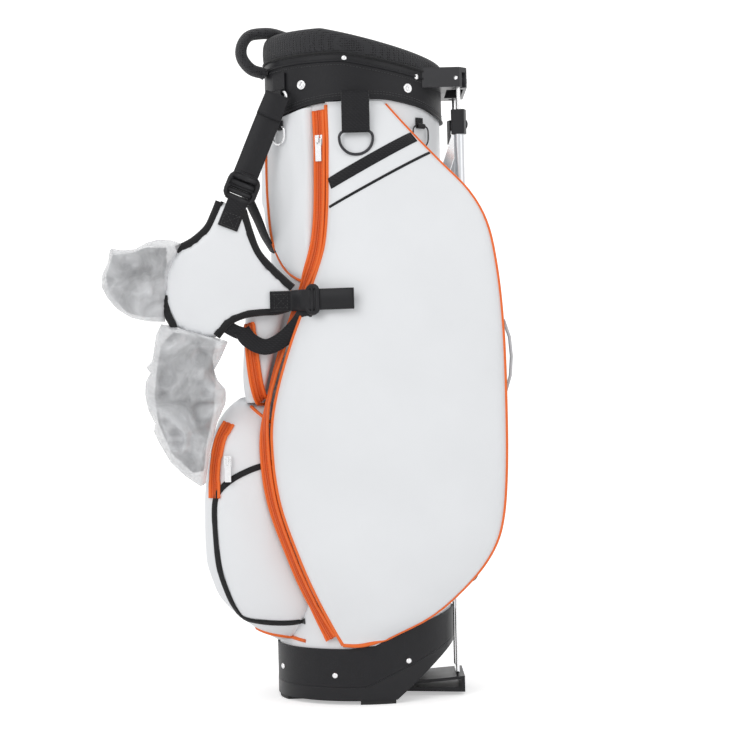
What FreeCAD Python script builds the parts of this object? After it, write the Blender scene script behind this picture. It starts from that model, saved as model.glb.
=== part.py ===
import FreeCAD, Part
import math
import os

import Sketcher
from FreeCAD import Placement, Rotation, Vector

# Golf stand bag, standing upright on its feet.  Millimetres.
# +Z is up, +X is the side that carries the folding legs, -X is the side that carries the shoulder
# harness, and +Y and -Y are the two flanks.  The origin is on the ground under the sleeve's axis.

os.makedirs("parts", exist_ok=True)
doc = FreeCAD.newDocument("GolfStandBag")
sheet = doc.addObject("Spreadsheet::Sheet", "Sizes")


# ---------------------------------------------------------------- driving dimensions
SIZES = [
    ("sleeve_half_x", 115, "sleeve, outer half width towards the legs"),
    ("sleeve_half_y", 103, "sleeve, outer half width towards the flanks"),
    ("sleeve_wall", 2.4, "sleeve thickness"),
    ("fit_gap", 0.3, "clearance between pieces that are sewn or riveted together"),
    ("run_gap", 1.0, "clearance beside pieces that move"),
    ("moulding_wall", 3.2, "wall of the base and cuff mouldings"),
    ("leather", 2.6, "thickness of the leather bands"),
    ("foot_high", 5, "height of the rubber feet"),
    ("base_floor", 18, "height of the inside floor"),
    ("base_top", 60, "height of the base moulding's wall"),
    ("toe_x", 40, "where the base's slanted heel begins"),
    ("heel_rise", 0.83, "rise of the slanted heel for each millimetre outwards"),
    ("skirt_low", 23, "lower edge of the leather skirt"),
    ("skirt_high", 72, "upper edge of the leather skirt on the harness side"),
    ("skirt_lift", 42, "how much higher the skirt's upper edge is on the leg side"),
    ("band_low", 759, "lower edge of the cuff band at its two ends"),
    ("band_arch", 22, "how much the band's lower edge arches up over the flanks"),
    ("band_high", 832, "upper edge of the cuff band on the harness side"),
    ("band_knee", -14, "where the band's upper edge starts to fall towards the legs"),
    ("band_fall", 0.2, "fall of the band's upper edge for each millimetre"),
    ("flange_high", 8.5, "height of the cuff moulding's flange above the band"),
    ("rim_high", 876, "top of the padded rim on the harness side"),
    ("rim_knee", -42, "where the padded rim starts to fall towards the legs"),
    ("rim_fall", 0.25, "fall of the padded rim for each millimetre"),
    ("rim_pad_wall", 12, "thickness of the padded rim"),
    ("cuff_low", 745, "lower end of the cuff moulding"),
    ("divider_wall", 4, "thickness of the club divider's bars"),
    ("divider_depth", 34, "height of the club divider's bars"),
    ("panel_wall", 1.2, "thickness of the full length divider fabric"),
    ("stay_dia", 8, "diameter of the stays in the sleeve"),
    ("lever_hinge_x", 46, "hinge of the foot lever"),
    ("lever_hinge_z", 13, "height of the foot lever's hinge"),
    ("lever_half_y", 46, "half width of the foot lever"),
    ("lever_reach", 12, "how far the lever stands out past the base"),
    ("lever_hub", 6, "radius of the lever's hinge hub"),
    ("pin_dia", 5, "diameter of the hinge pins"),
    ("rod_dia", 4.6, "diameter of the actuator rod"),
    ("rod_half_y", 35, "half distance between the rod's two legs"),
    ("rod_top", 690, "height of the rod's upper ends"),
    ("bracket_low", 799, "underside of the stand bracket"),
    ("bracket_high", 825, "top of the stand bracket"),
    ("bracket_front", 150, "front of the stand bracket"),
    ("bracket_half_y", 68, "half width of the stand bracket"),
    ("leg_x", 138, "distance of the legs from the axis"),
    ("leg_half_y", 58, "half distance between the legs"),
    ("leg_splay", 18, "angle that the legs swing outwards to the flanks"),
    ("leg_pivot_z", 811, "height of the leg hinges"),
    ("leg_dia", 13, "diameter of the leg tubes"),
    ("leg_wall", 1.2, "wall of the leg tubes"),
    ("stem_dia", 6, "diameter of the steel stem above each leg"),
    ("knuckle_high", 770, "top of the leg's knuckle"),
    ("knuckle_low", 738, "underside of the leg's knuckle"),
    ("leg_low", 162, "lower end of the leg tubes"),
    ("leg_foot_dia", 24, "diameter of the rubber leg feet"),
    ("pocket_reach", 188, "how far the flank pockets stand out over the legs"),
    ("pocket_out", 148, "how far the flank pockets stand out to the side"),
    ("leg_bay_half_y", 86, "half width of the bay that the legs swing through"),
    ("ball_pocket_reach", 205, "how far the ball pocket stands out"),
    ("ball_pocket_half_y", 92, "half width of the ball pocket"),
    ("mid_pocket_reach", 150, "how far the middle pocket stands out"),
    ("upper_pocket_reach", 124, "how far the upper pocket stands out"),
    ("tape_wide", 16, "width of the zip tapes"),
    ("tape_thick", 1.5, "thickness of the zip tapes"),
    ("ring_wire", 3.6, "wire of the towel ring"),
    ("webbing", 2, "thickness of the webbing"),
    ("strap_wide", 34, "width of the harness straps"),
    ("pad_thick", 11, "thickness of the harness pads"),
    ("harness_y", -90, "plane that the harness hangs in"),
]


class Size:
    """A length with its value in millimetres and the spreadsheet expression that gives it."""

    def __init__(self, value, text):
        self.value = value
        self.text = text

    def __float__(self):
        return float(self.value)

    def __add__(self, other):
        return Size(self.value + float(other), f"({self.text} + {text_of(other)})")

    def __radd__(self, other):
        return self + other

    def __sub__(self, other):
        return Size(self.value - float(other), f"({self.text} - {text_of(other)})")

    def __rsub__(self, other):
        return Size(float(other) - self.value, f"({text_of(other)} - {self.text})")

    def __mul__(self, other):
        return Size(self.value * float(other), f"({self.text} * {text_of(other)})")

    def __rmul__(self, other):
        return self * other

    def __truediv__(self, other):
        return Size(self.value / float(other), f"({self.text} / {text_of(other)})")

    def __neg__(self):
        return Size(-self.value, f"(0 - {self.text})")


def text_of(number):
    """The expression of a Size, or a plain number's digits."""
    return number.text if isinstance(number, Size) else f"{float(number):.6f}"


class Sizes:
    """The spreadsheet's cells as Size attributes."""


def fill_sheet():
    cells = Sizes()
    for row, (name, value, note) in enumerate(SIZES, start=1):
        sheet.set(f"A{row}", str(value))
        sheet.setAlias(f"A{row}", name)
        sheet.set(f"B{row}", note)
        setattr(cells, name, Size(float(value), f"Sizes.{name}"))
    doc.recompute()
    return cells


s = fill_sheet()

# sizes that follow from the driving ones
moulding_half_x = s.sleeve_half_x - s.sleeve_wall - s.fit_gap
moulding_half_y = s.sleeve_half_y - s.sleeve_wall - s.fit_gap
band_in_x = s.sleeve_half_x + s.fit_gap
band_in_y = s.sleeve_half_y + s.fit_gap
band_out_x = band_in_x + s.leather
band_out_y = band_in_y + s.leather
rod_x = band_out_x + s.run_gap + s.rod_dia / 2
tape_out = s.fit_gap + s.tape_thick


# ---------------------------------------------------------------- helpers
def bind(thing, prop, size):
    """Sets a property, and ties it to the spreadsheet when the value is a Size."""
    if isinstance(size, Size):
        thing.setExpression(prop, size.text)
    else:
        setattr(thing, prop, size)


def put(thing, x=0, y=0, z=0, rotation=None):
    """Places an object, tying each coordinate that is a Size to the spreadsheet."""
    base = Vector(float(x), float(y), float(z))
    thing.Placement = Placement(base, rotation or Rotation())
    for axis, size in (("x", x), ("y", y), ("z", z)):
        if isinstance(size, Size):
            thing.setExpression(f"Placement.Base.{axis}", size.text)
    return thing


def oval(name, half_x, half_y, low, high):
    """An upright elliptic cylinder about the axis."""
    outline = doc.addObject("Part::Ellipse", name + "_outline")
    long_x = float(half_x) >= float(half_y)
    bind(outline, "MajorRadius", half_x if long_x else half_y)
    bind(outline, "MinorRadius", half_y if long_x else half_x)
    put(outline, z=low, rotation=Rotation(Vector(0, 0, 1), 0 if long_x else 90))
    solid = doc.addObject("Part::Extrusion", name)
    solid.Base = outline
    solid.DirMode = "Custom"
    solid.Dir = Vector(0, 0, 1)
    bind(solid, "LengthFwd", high - low)
    solid.Solid = True
    return solid


def box(name, x, y, z, long_x, long_y, long_z):
    """A box from its lowest corner."""
    solid = doc.addObject("Part::Box", name)
    bind(solid, "Length", long_x)
    bind(solid, "Width", long_y)
    bind(solid, "Height", long_z)
    return put(solid, x, y, z)


def cylinder(name, radius, height, x, y, z, rotation=None):
    """A cylinder from its lower end, along its own Z."""
    solid = doc.addObject("Part::Cylinder", name)
    bind(solid, "Radius", radius)
    bind(solid, "Height", height)
    return put(solid, x, y, z, rotation)


def cut(name, base, tool):
    part = doc.addObject("Part::Cut", name)
    part.Base = base
    part.Tool = tool
    return part


def common(name, base, tool):
    part = doc.addObject("Part::Common", name)
    part.Base = base
    part.Tool = tool
    return part


def group(name, *members):
    """Several solids in one node, fused where they touch."""
    part = doc.addObject("Part::MultiFuse", name)
    part.Shapes = list(members)
    return part


def free_shape(name, shape):
    """A piece whose shape is worked out from the sheet's values in this script."""
    part = doc.addObject("Part::Feature", name)
    part.Shape = shape
    return part


def origin_plane(body, role):
    return next(f for f in body.Origin.OriginFeatures if f.Role == role)


def outline_sketch(body, name, role, corners):
    """A closed sketch through the corners, each tied to the spreadsheet by its two coordinates."""
    sketch = body.newObject("Sketcher::SketchObject", name)
    sketch.AttachmentSupport = [(origin_plane(body, role), "")]
    sketch.MapMode = "FlatFace"
    points = [Vector(float(u), float(v), 0) for u, v in corners]
    count = len(points)
    for i, point in enumerate(points):
        sketch.addGeometry(Part.LineSegment(point, points[(i + 1) % count]), False)
    for i, (u, v) in enumerate(corners):
        tie_point(sketch, i, 1, u, v)
        after = (i - 1) % count
        sketch.addConstraint(Sketcher.Constraint("Coincident", after, 2, i, 1))
    return sketch


def tie_point(sketch, shape, end, u, v):
    """Fixes a sketch point at (u, v) with two dimensions that the spreadsheet drives."""
    for kind, size in (("DistanceX", u), ("DistanceY", v)):
        index = sketch.addConstraint(
            Sketcher.Constraint(kind, -1, 1, shape, end, float(size))
        )
        if isinstance(size, Size):
            sketch.setExpression(f"Constraints[{index}]", size.text)


def circle_sketch(body, name, role, circles):
    """A sketch of circles (u, v, radius), tied to the spreadsheet."""
    sketch = body.newObject("Sketcher::SketchObject", name)
    sketch.AttachmentSupport = [(origin_plane(body, role), "")]
    sketch.MapMode = "FlatFace"
    for i, (u, v, radius) in enumerate(circles):
        centre = Vector(float(u), float(v), 0)
        sketch.addGeometry(Part.Circle(centre, Vector(0, 0, 1), float(radius)), False)
        tie_point(sketch, i, 3, u, v)
        index = sketch.addConstraint(Sketcher.Constraint("Radius", i, float(radius)))
        if isinstance(radius, Size):
            sketch.setExpression(f"Constraints[{index}]", radius.text)
    return sketch


def pad(body, sketch, length, both_ways=True, reverse=False):
    """Pads a sketch, half to each side of its plane unless told otherwise."""
    feature = body.newObject("PartDesign::Pad", sketch.Name + "_pad")
    feature.Profile = sketch
    bind(feature, "Length", length)
    feature.Midplane = both_ways
    feature.Reversed = reverse
    sketch.Visibility = False
    return feature


def pocket_through(body, sketch):
    """Cuts a sketch right through the body, both ways."""
    feature = body.newObject("PartDesign::Pocket", sketch.Name + "_cut")
    feature.Profile = sketch
    feature.Type = 1
    feature.Midplane = True
    return feature


def new_body(name):
    body = doc.addObject("PartDesign::Body", name)
    body.Label = name
    return body


def sweep_wire(edges, radius):
    """A round bar of that radius along joined lines and arcs."""
    path = Part.Wire(edges)
    first = path.OrderedEdges[0]
    start = first.valueAt(first.FirstParameter)
    tangent = first.tangentAt(first.FirstParameter)
    section = Part.Wire(Part.makeCircle(radius, start, tangent))
    return path.makePipeShell([section], True, True)


def rounded_path(points, radius):
    """Straight runs through the points, joined by tangent arcs of one radius or one for each."""
    edges = []
    start = points[0]
    bends = radius if isinstance(radius, list) else [radius] * (len(points) - 2)
    for before, corner, after, radius in zip(points, points[1:], points[2:], bends):
        one = (before - corner).normalize()
        two = (after - corner).normalize()
        half = one.getAngle(two) / 2
        back = radius / math.tan(half)
        enter = corner + one * back
        leave = corner + two * back
        inward = (one + two).normalize()
        middle = corner + inward * (radius / math.sin(half) - radius)
        edges.append(Part.makeLine(start, enter))
        edges.append(Part.Arc(enter, middle, leave).toShape())
        start = leave
    edges.append(Part.makeLine(start, points[-1]))
    return edges


# ---------------------------------------------------------------- side profiles
REACH = 400  # half size of the tools that cut right through


def side_prism(name, corners, width=2 * REACH):
    """A solid with that outline seen from the flank, as wide as asked along Y."""
    body = new_body(name)
    pad(body, outline_sketch(body, name + "_outline", "XZ_Plane", corners), width)
    return body


def heel(x, lift=0):
    """Height of the base's slanted heel at x, with a parallel lift."""
    return s.foot_high + (x - s.toe_x) * s.heel_rise + lift


def skirt_hem(lift=0):
    """Corners of the skirt's lower edge, from the harness side to the leg side."""
    end = band_out_x + 2
    return [(-REACH, s.skirt_low + lift), (0, s.skirt_low + lift), (end, heel(end, 4) + lift)]


def skirt_brow(lift=0):
    """Corners of the skirt's upper edge, from the leg side back to the harness side."""
    high = s.skirt_high + lift
    return [
        (REACH, high + s.skirt_lift),
        (band_out_x, high + s.skirt_lift),
        (band_out_x * 0.38, high + s.skirt_lift * 0.48),
        (0, high + s.skirt_lift * 0.07),
        (-20, high),
        (-REACH, high),
    ]


def band_brow(lift=0):
    """Corners of the cuff band's upper edge, from the leg side back to the harness side."""
    high = s.band_high + lift
    return [
        (REACH, high - (REACH - s.band_knee) * s.band_fall),
        (s.band_knee, high),
        (-REACH, high),
    ]


def band_hem(lift=0):
    """Corners of the cuff band's arched lower edge, from the harness side to the leg side."""
    low = s.band_low + lift
    top = low + s.band_arch
    return [
        (-REACH, low),
        (-band_out_x, low),
        (-band_out_x * 0.5, low + s.band_arch * 0.75),
        (0, top),
        (band_out_x * 0.35, top),
        (band_out_x * 0.75, low + s.band_arch * 0.6),
        (band_out_x, low),
        (REACH, low),
    ]


# ---------------------------------------------------------------- base
def base_moulding():
    outside_low = common(
        "base_ring_low",
        oval("base_ring_oval", band_out_x, band_out_y, s.foot_high, s.base_top + 60),
        side_prism(
            "base_ring_side",
            [(-REACH, s.foot_high), (s.toe_x, s.foot_high), (s.toe_x + REACH, heel(s.toe_x + REACH))]
            + [(band_out_x + 2, heel(band_out_x + 2, 4) - s.fit_gap)]
            + [(0, s.skirt_low - s.fit_gap), (-REACH, s.skirt_low - s.fit_gap)],
        ),
    )
    wall = common(
        "base_wall",
        oval("base_wall_oval", moulding_half_x, moulding_half_y, s.foot_high, s.base_top + 80),
        side_prism(
            "base_wall_side",
            [(-REACH, s.foot_high), (s.toe_x, s.foot_high), (REACH, heel(REACH))]
            + [(REACH, heel(REACH, 60))]
            + skirt_brow(-12)[1:],
        ),
    )
    inner_toe = s.toe_x - 12
    cavity = common(
        "base_cavity",
        oval(
            "base_cavity_oval",
            moulding_half_x - s.moulding_wall,
            moulding_half_y - s.moulding_wall,
            s.base_floor,
            s.base_top + 90,
        ),
        side_prism(
            "base_cavity_side",
            [(-REACH, s.base_floor), (inner_toe, s.base_floor)]
            + [(REACH, s.base_floor + (REACH - inner_toe) * s.heel_rise)]
            + [(REACH, REACH * 2), (-REACH, REACH * 2)],
        ),
    )
    hub_clear = s.lever_hub + s.run_gap
    slot_end = s.lever_hinge_x + 42
    slot = side_prism(
        "base_slot",
        [(s.lever_hinge_x - hub_clear, -1), (slot_end, -1), (slot_end, heel(slot_end, 1))]
        + [(s.lever_hinge_x - 2, s.lever_hinge_z + hub_clear + 1.5)]
        + [(s.lever_hinge_x - hub_clear, s.lever_hinge_z + hub_clear)],
        2 * (s.lever_half_y + s.run_gap),
    )
    pin_hole = cylinder(
        "base_pin_hole",
        s.pin_dia / 2 + 0.05,
        2 * s.lever_half_y + 24,
        s.lever_hinge_x,
        s.lever_half_y + 12,
        s.lever_hinge_z,
        Rotation(Vector(1, 0, 0), 90),
    )
    shell = cut("base_shell", group("base_solid", outside_low, wall), cavity)
    return cut("base_moulding", shell, group("base_cuts", slot, pin_hole))


def base_feet():
    ring = cut(
        "feet_ring",
        oval("feet_outer", band_out_x - 2, band_out_y - 2, 0, s.foot_high),
        oval("feet_inner", band_out_x - 26, band_out_y - 26, 0, s.foot_high),
    )
    places = group(
        "feet_places",
        box("foot_harness_side", -REACH, -46, 0, REACH - 74, 92, s.foot_high),
        box("foot_flanks", -8, -REACH, 0, s.toe_x + 6, 2 * REACH, s.foot_high),
    )
    centre = cylinder("foot_centre", 16, s.foot_high, 10, 0, 0)
    return group("base_feet", common("feet_around", ring, places), centre)


def base_skirt():
    ring = cut(
        "skirt_ring",
        oval("skirt_outer", band_out_x, band_out_y, 0, 200),
        oval("skirt_inner", band_in_x, band_in_y, 0, 200),
    )
    return common("base_skirt", ring, side_prism("skirt_side", skirt_hem() + skirt_brow()))


def stud(name, angle, z, radius, thick, gap=0.1):
    """A flat round head on the leather, facing out, at that angle from +X."""
    turn = math.radians(angle)
    half_x, half_y = float(band_out_x), float(band_out_y)
    spot = Vector(half_x * math.cos(turn), half_y * math.sin(turn), float(z))
    out = Vector(math.cos(turn) / half_x, math.sin(turn) / half_y, 0).normalize()
    foot = spot + out * gap
    face = Rotation(Vector(0, 0, 1), out)
    return cylinder(name, radius, thick, foot.x, foot.y, foot.z, face)


def stud_ring(name, places, radius, thick):
    heads = [
        stud(f"{name}_{i}_{side}", side * angle, z, radius, thick)
        for i, (angle, z) in enumerate(places)
        for side in ((1, -1) if angle % 180 else (1,))
    ]
    return group(name, *heads)


base_moulding()
base_feet()
base_skirt()
stud_ring(
    "base_rivets",
    [(62, s.skirt_low + 31), (110, s.skirt_low + 15), (158, s.skirt_low + 20)],
    4.2,
    1.8,
)


# ---------------------------------------------------------------- foot lever and actuator rod
lever_tip = band_out_x + s.lever_reach
lever_top = s.lever_hinge_z + s.lever_hub + 6
rod_low = lever_top + 0.6 + s.rod_dia / 2


def foot_lever():
    body = new_body("foot_lever")
    plate = outline_sketch(
        body,
        "lever_side",
        "XZ_Plane",
        [
            (s.lever_hinge_x, s.lever_hinge_z - s.lever_hub),
            (lever_tip, 4),
            (lever_tip, lever_top),
            (s.lever_hinge_x, s.lever_hinge_z + s.lever_hub),
        ],
    )
    pad(body, plate, 2 * s.lever_half_y)
    hub = circle_sketch(
        body, "lever_hub_side", "XZ_Plane", [(s.lever_hinge_x, s.lever_hinge_z, s.lever_hub)]
    )
    pad(body, hub, 2 * s.lever_half_y)
    hole = circle_sketch(
        body,
        "lever_pin_side",
        "XZ_Plane",
        [(s.lever_hinge_x, s.lever_hinge_z, s.pin_dia / 2 + 0.1)],
    )
    pocket_through(body, hole)
    hollow = outline_sketch(
        body,
        "lever_hollow_side",
        "XZ_Plane",
        [
            (s.lever_hinge_x + 16, s.lever_hinge_z - 2),
            (lever_tip - 5, s.lever_hinge_z - 3),
            (lever_tip - 5, lever_top - 4),
            (s.lever_hinge_x + 16, s.lever_hinge_z + 3),
        ],
    )
    pocket_through(body, hollow)
    return body


def foot_lever_pin():
    return cylinder(
        "foot_lever_pin",
        s.pin_dia / 2,
        2 * s.lever_half_y + 22,
        s.lever_hinge_x,
        s.lever_half_y + 11,
        s.lever_hinge_z,
        Rotation(Vector(1, 0, 0), 90),
    )


def actuator_rod():
    """One bent wire: a stub outwards at each top, two long legs and the cross bar on the lever."""
    x, half_y, top, low = (float(v) for v in (rod_x, s.rod_half_y, s.rod_top, rod_low))
    lean = math.radians(float(s.leg_splay))
    stub = Vector(math.sin(lean), math.cos(lean), 0) * 10.5
    corners = [
        Vector(x - stub.x, -half_y - stub.y, top),
        Vector(x, -half_y, top),
        Vector(x, -half_y, low),
        Vector(x, half_y, low),
        Vector(x, half_y, top),
        Vector(x - stub.x, half_y + stub.y, top),
    ]
    return free_shape("actuator_rod", sweep_wire(rounded_path(corners, 3), float(s.rod_dia) / 2))


def rod_guides():
    """Four blocks on the sleeve, each with a running hole for the rod."""
    blocks = []
    holes = []
    for z in (300, 640):
        for side in (-1, 1):
            name = f"guide_{z}_{'far' if side > 0 else 'near'}"
            low_y = side * s.rod_half_y - 6
            blocks.append(box(name, 88, low_y, z, rod_x - 88 + 6, 12, 16))
            holes.append(
                cylinder(name + "_hole", s.rod_dia / 2 + 0.5, 40, rod_x, side * s.rod_half_y, z - 10)
            )
    tube = oval("guide_clear", s.sleeve_half_x + s.fit_gap, s.sleeve_half_y + s.fit_gap, 200, 700)
    return cut("rod_guides", group("guide_blocks", *blocks), group("guide_cuts", tube, *holes))


foot_lever()
foot_lever_pin()
actuator_rod()
rod_guides()


# ---------------------------------------------------------------- cuff, divider and sleeve
def side_cut_ring(name, outer, inner, corners):
    """An elliptic ring trimmed to that outline seen from the flank."""
    ring = cut(
        name + "_ring",
        oval(name + "_outer", outer[0], outer[1], 0, s.rim_high + 20),
        oval(name + "_inner", inner[0], inner[1], 0, s.rim_high + 20),
    )
    return common(name, ring, side_prism(name + "_side", corners))


def rim_brow(lift=0):
    """Corners of the padded rim's top, from the leg side back to the harness side."""
    high = s.rim_high + lift
    return [
        (REACH, high - (REACH - s.rim_knee) * s.rim_fall),
        (s.rim_knee, high),
        (-REACH, high),
    ]


def cuff_ring():
    """The plastic collar: a wall inside the sleeve and a flange over the leather band."""
    wall = common(
        "cuff_wall",
        oval("cuff_wall_oval", moulding_half_x, moulding_half_y, s.cuff_low, s.rim_high),
        side_prism("cuff_wall_side", [(-REACH, s.cuff_low), (REACH, s.cuff_low)] + band_brow(2)),
    )
    flange = common(
        "cuff_flange",
        oval("cuff_flange_oval", band_out_x, band_out_y, s.cuff_low, s.rim_high),
        side_prism(
            "cuff_flange_side", band_brow(s.fit_gap)[::-1] + band_brow(s.flange_high)
        ),
    )
    bore = oval(
        "cuff_bore",
        moulding_half_x - s.moulding_wall,
        moulding_half_y - s.moulding_wall,
        0,
        s.rim_high + 20,
    )
    return cut("cuff_ring", group("cuff_solid", wall, flange), bore)


divider_top = s.band_high - 10
divider_low = divider_top - s.divider_depth
bore_x = moulding_half_x - s.moulding_wall - s.fit_gap
bore_y = moulding_half_y - s.moulding_wall - s.fit_gap


def crossed(name, wall, low, high):
    """Two upright plates crossing on the axis."""
    return group(
        name,
        box(name + "_along", -REACH, wall / -2, low, 2 * REACH, wall, high - low),
        box(name + "_across", wall / -2, -REACH, low, wall, 2 * REACH, high - low),
    )


def club_divider():
    bars = crossed("divider_bars", s.divider_wall, divider_low, divider_top)
    inside = oval("divider_oval", bore_x, bore_y, divider_low - 1, divider_top + 1)
    under = side_prism(
        "divider_side", [(-REACH, 0), (REACH, 0)] + band_brow(s.flange_high - 4)
    )
    return common("club_divider", common("divider_inside", bars, inside), under)


def divider_sleeve():
    """Full length fabric walls from the divider down to the floor of the base."""
    panels = crossed("sleeve_panels", s.panel_wall, s.base_floor, divider_low - s.fit_gap)
    inside = oval("panels_oval", bore_x - 1, bore_y - 1, 0, divider_low)
    floor = s.base_floor + s.fit_gap
    toe = s.toe_x - 13
    above = side_prism(
        "panels_side",
        [(-REACH, floor), (toe, floor), (REACH, floor + (REACH - toe) * s.heel_rise)]
        + [(REACH, 1000), (-REACH, 1000)],
    )
    return common("divider_sleeve", common("panels_inside", panels, inside), above)


def body_sleeve():
    return side_cut_ring(
        "body_sleeve",
        (s.sleeve_half_x, s.sleeve_half_y),
        (s.sleeve_half_x - s.sleeve_wall, s.sleeve_half_y - s.sleeve_wall),
        skirt_hem(1) + band_brow(-1),
    )


def body_stays():
    """Three stiffening tubes inside the sleeve, from the base's wall to the cuff."""
    stays = []
    for i, angle in enumerate((150, 210, 0)):
        turn = math.radians(angle)
        inset = s.stay_dia / 2 + s.moulding_wall + 0.6
        outer = cylinder(
            f"stay_{i}",
            s.stay_dia / 2,
            s.cuff_low + 20 - (s.base_top - 12),
            (moulding_half_x - inset) * math.cos(turn),
            (moulding_half_y - inset) * math.sin(turn) + (6 if angle == 0 else 0),
            s.base_top - 12 + (40 if angle == 0 else 0),
        )
        stays.append(outer)
    return group("body_stays", *stays)


cuff_ring()
club_divider()
divider_sleeve()
body_sleeve()
body_stays()
side_cut_ring(
    "cuff_band", (band_out_x, band_out_y), (band_in_x, band_in_y), band_hem() + band_brow()
)
side_cut_ring(
    "rim_pad",
    (band_out_x, band_out_y),
    (band_out_x - s.rim_pad_wall, band_out_y - s.rim_pad_wall),
    band_brow(s.flange_high + s.fit_gap)[::-1] + rim_brow(),
)
stud_ring("cuff_rivets", [(94.9, s.band_high + 2), (45, s.band_high - 20)], 3.6, 1.8)
stud_ring("cuff_snaps", [(124, s.band_high - 29), (53, s.band_high - 36)], 6.5, 2.4)


# ---------------------------------------------------------------- stand bracket and legs
def upright_prism(name, corners, low, high):
    """A solid with that outline seen from above."""
    body = new_body(name)
    pad(body, outline_sketch(body, name + "_outline", "XY_Plane", corners), high - low, False)
    put(body, z=low)
    return body


def side_sign(side):
    return -1 if side == "near" else 1


def leg_frame(side):
    """Turns local +X into the direction the leg swings to, with +Y towards the far flank."""
    return Rotation(Vector(0, 0, 1), side_sign(side) * float(s.leg_splay))


def in_swing_plane(side, shape):
    """Moves a shape drawn around the leg's hinge in its swing plane onto the bag."""
    pivot = Vector(float(s.leg_x), side_sign(side) * float(s.leg_half_y), float(s.leg_pivot_z))
    moved = shape.copy()
    moved.Placement = Placement(pivot, leg_frame(side)) * moved.Placement
    return moved


def disc(radius, thick, x, y, z):
    """A round of that thickness about y, its axis along Y."""
    return Part.makeCylinder(radius, thick, Vector(x, y - thick / 2, z), Vector(0, 1, 0))


def block(x, y, z, long_x, long_y, long_z):
    return Part.makeBox(long_x, long_y, long_z, Vector(x, y, z))


def stand_bracket():
    front, half = s.bracket_front, s.bracket_half_y
    body = upright_prism(
        "bracket_block",
        [(80, -half), (front - 10, -half), (front, -half + 12)]
        + [(front, half - 12), (front - 10, half), (80, half)],
        s.bracket_low,
        s.bracket_high,
    )
    tube = oval("bracket_tube", band_out_x + s.fit_gap, band_out_y + s.fit_gap, 700, 900)
    hollow = box(
        "bracket_hollow",
        band_out_x + 6,
        -40,
        s.bracket_low - 1,
        front - band_out_x - 10,
        80,
        s.bracket_high - s.bracket_low - 2.5,
    )
    slots = []
    half_slot = float(s.stem_dia) / 2 + float(s.run_gap)
    for side in ("near", "far"):
        slot = block(-8, -half_slot, -60, 48, 2 * half_slot, 67.5)
        hole = disc(float(s.pin_dia) / 2 + 0.05, 40, 0, 0, 0)
        for tool, shape in (("slot", slot), ("pin_hole", hole)):
            slots.append(free_shape(f"bracket_{tool}_{side}", in_swing_plane(side, shape)))
    return cut("stand_bracket", body, group("bracket_cuts", tube, hollow, *slots))


def bracket_screws():
    heads = []
    for y in (-30, 0, 30):
        heads.append(
            cylinder(
                f"screw_{y + 30}",
                4,
                1.8,
                s.bracket_front + 0.1,
                y,
                (s.bracket_low + s.bracket_high) / 2,
                Rotation(Vector(0, 1, 0), 90),
            )
        )
    return group("bracket_screws", *heads)


knuckle_bore = 14  # depth of the stem's seat in the knuckle
link_pin_z = -57  # the link's pin below the leg's hinge
link_plane = 11.18  # the link's plane, inwards from the leg's
link_thick = 3


def leg_parts(side):
    inward = -side_sign(side)
    pivot, high, low = (float(v) for v in (s.leg_pivot_z, s.knuckle_high, s.knuckle_low))
    stem_low = high - knuckle_bore + 0.2 - pivot
    stem_r = float(s.stem_dia) / 2
    hub = disc(6, float(s.stem_dia), 0, 0, 0)
    stem = Part.makeCylinder(stem_r, -stem_low, Vector(0, 0, stem_low))
    stem = stem.fuse(hub).cut(disc(float(s.pin_dia) / 2 + 0.1, 20, 0, 0, 0))
    free_shape(f"leg_stem_{side}", in_swing_plane(side, stem))

    knuckle = block(-9, -7.5, low - pivot, 18, 15, high - low)
    knuckle = knuckle.makeFillet(3, [e for e in knuckle.Edges if abs(e.tangentAt(0).z) > 0.9])
    spigot_r = float(s.leg_dia) / 2 - float(s.leg_wall) - 0.15
    spigot = Part.makeCylinder(spigot_r, 26, Vector(0, 0, low - pivot - 25))
    pin = Part.makeCylinder(
        2, link_plane - 4.5, Vector(0, inward * 7, link_pin_z), Vector(0, inward, 0)
    )
    bore = Part.makeCylinder(
        stem_r + 0.15, knuckle_bore + 1, Vector(0, 0, high - pivot - knuckle_bore)
    )
    free_shape(
        f"leg_knuckle_{side}",
        in_swing_plane(side, knuckle.fuse([spigot, pin]).cut(bore)),
    )

    place_y = side_sign(side) * s.leg_half_y
    tube_high = s.knuckle_low - s.fit_gap
    cut(
        f"leg_tube_{side}",
        cylinder(
            f"tube_out_{side}", s.leg_dia / 2, tube_high - s.leg_low, s.leg_x, place_y, s.leg_low
        ),
        cylinder(
            f"tube_in_{side}",
            s.leg_dia / 2 - s.leg_wall,
            tube_high - s.leg_low + 2,
            s.leg_x,
            place_y,
            s.leg_low - 1,
        ),
    )
    ball = doc.addObject("Part::Sphere", f"foot_ball_{side}")
    bind(ball, "Radius", s.leg_foot_dia / 2)
    put(ball, s.leg_x, place_y, s.leg_low)
    collar = cylinder(
        f"foot_collar_{side}", s.leg_foot_dia / 2 - 1.5, 22, s.leg_x, place_y, s.leg_low
    )
    socket = cylinder(
        f"foot_socket_{side}",
        s.leg_dia / 2 + 0.15,
        60,
        s.leg_x,
        place_y,
        s.leg_low - 0.2,
    )
    cut(f"leg_foot_{side}", group(f"foot_solid_{side}", ball, collar), socket)


def rod_eye(side):
    """Centre of the link's lower eye, on the rod's bent end."""
    corner = Vector(float(rod_x), side_sign(side) * float(s.rod_half_y), float(s.rod_top))
    return corner + leg_frame(side).multVec(Vector(0, side_sign(side) * 5.5, 0))


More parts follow.
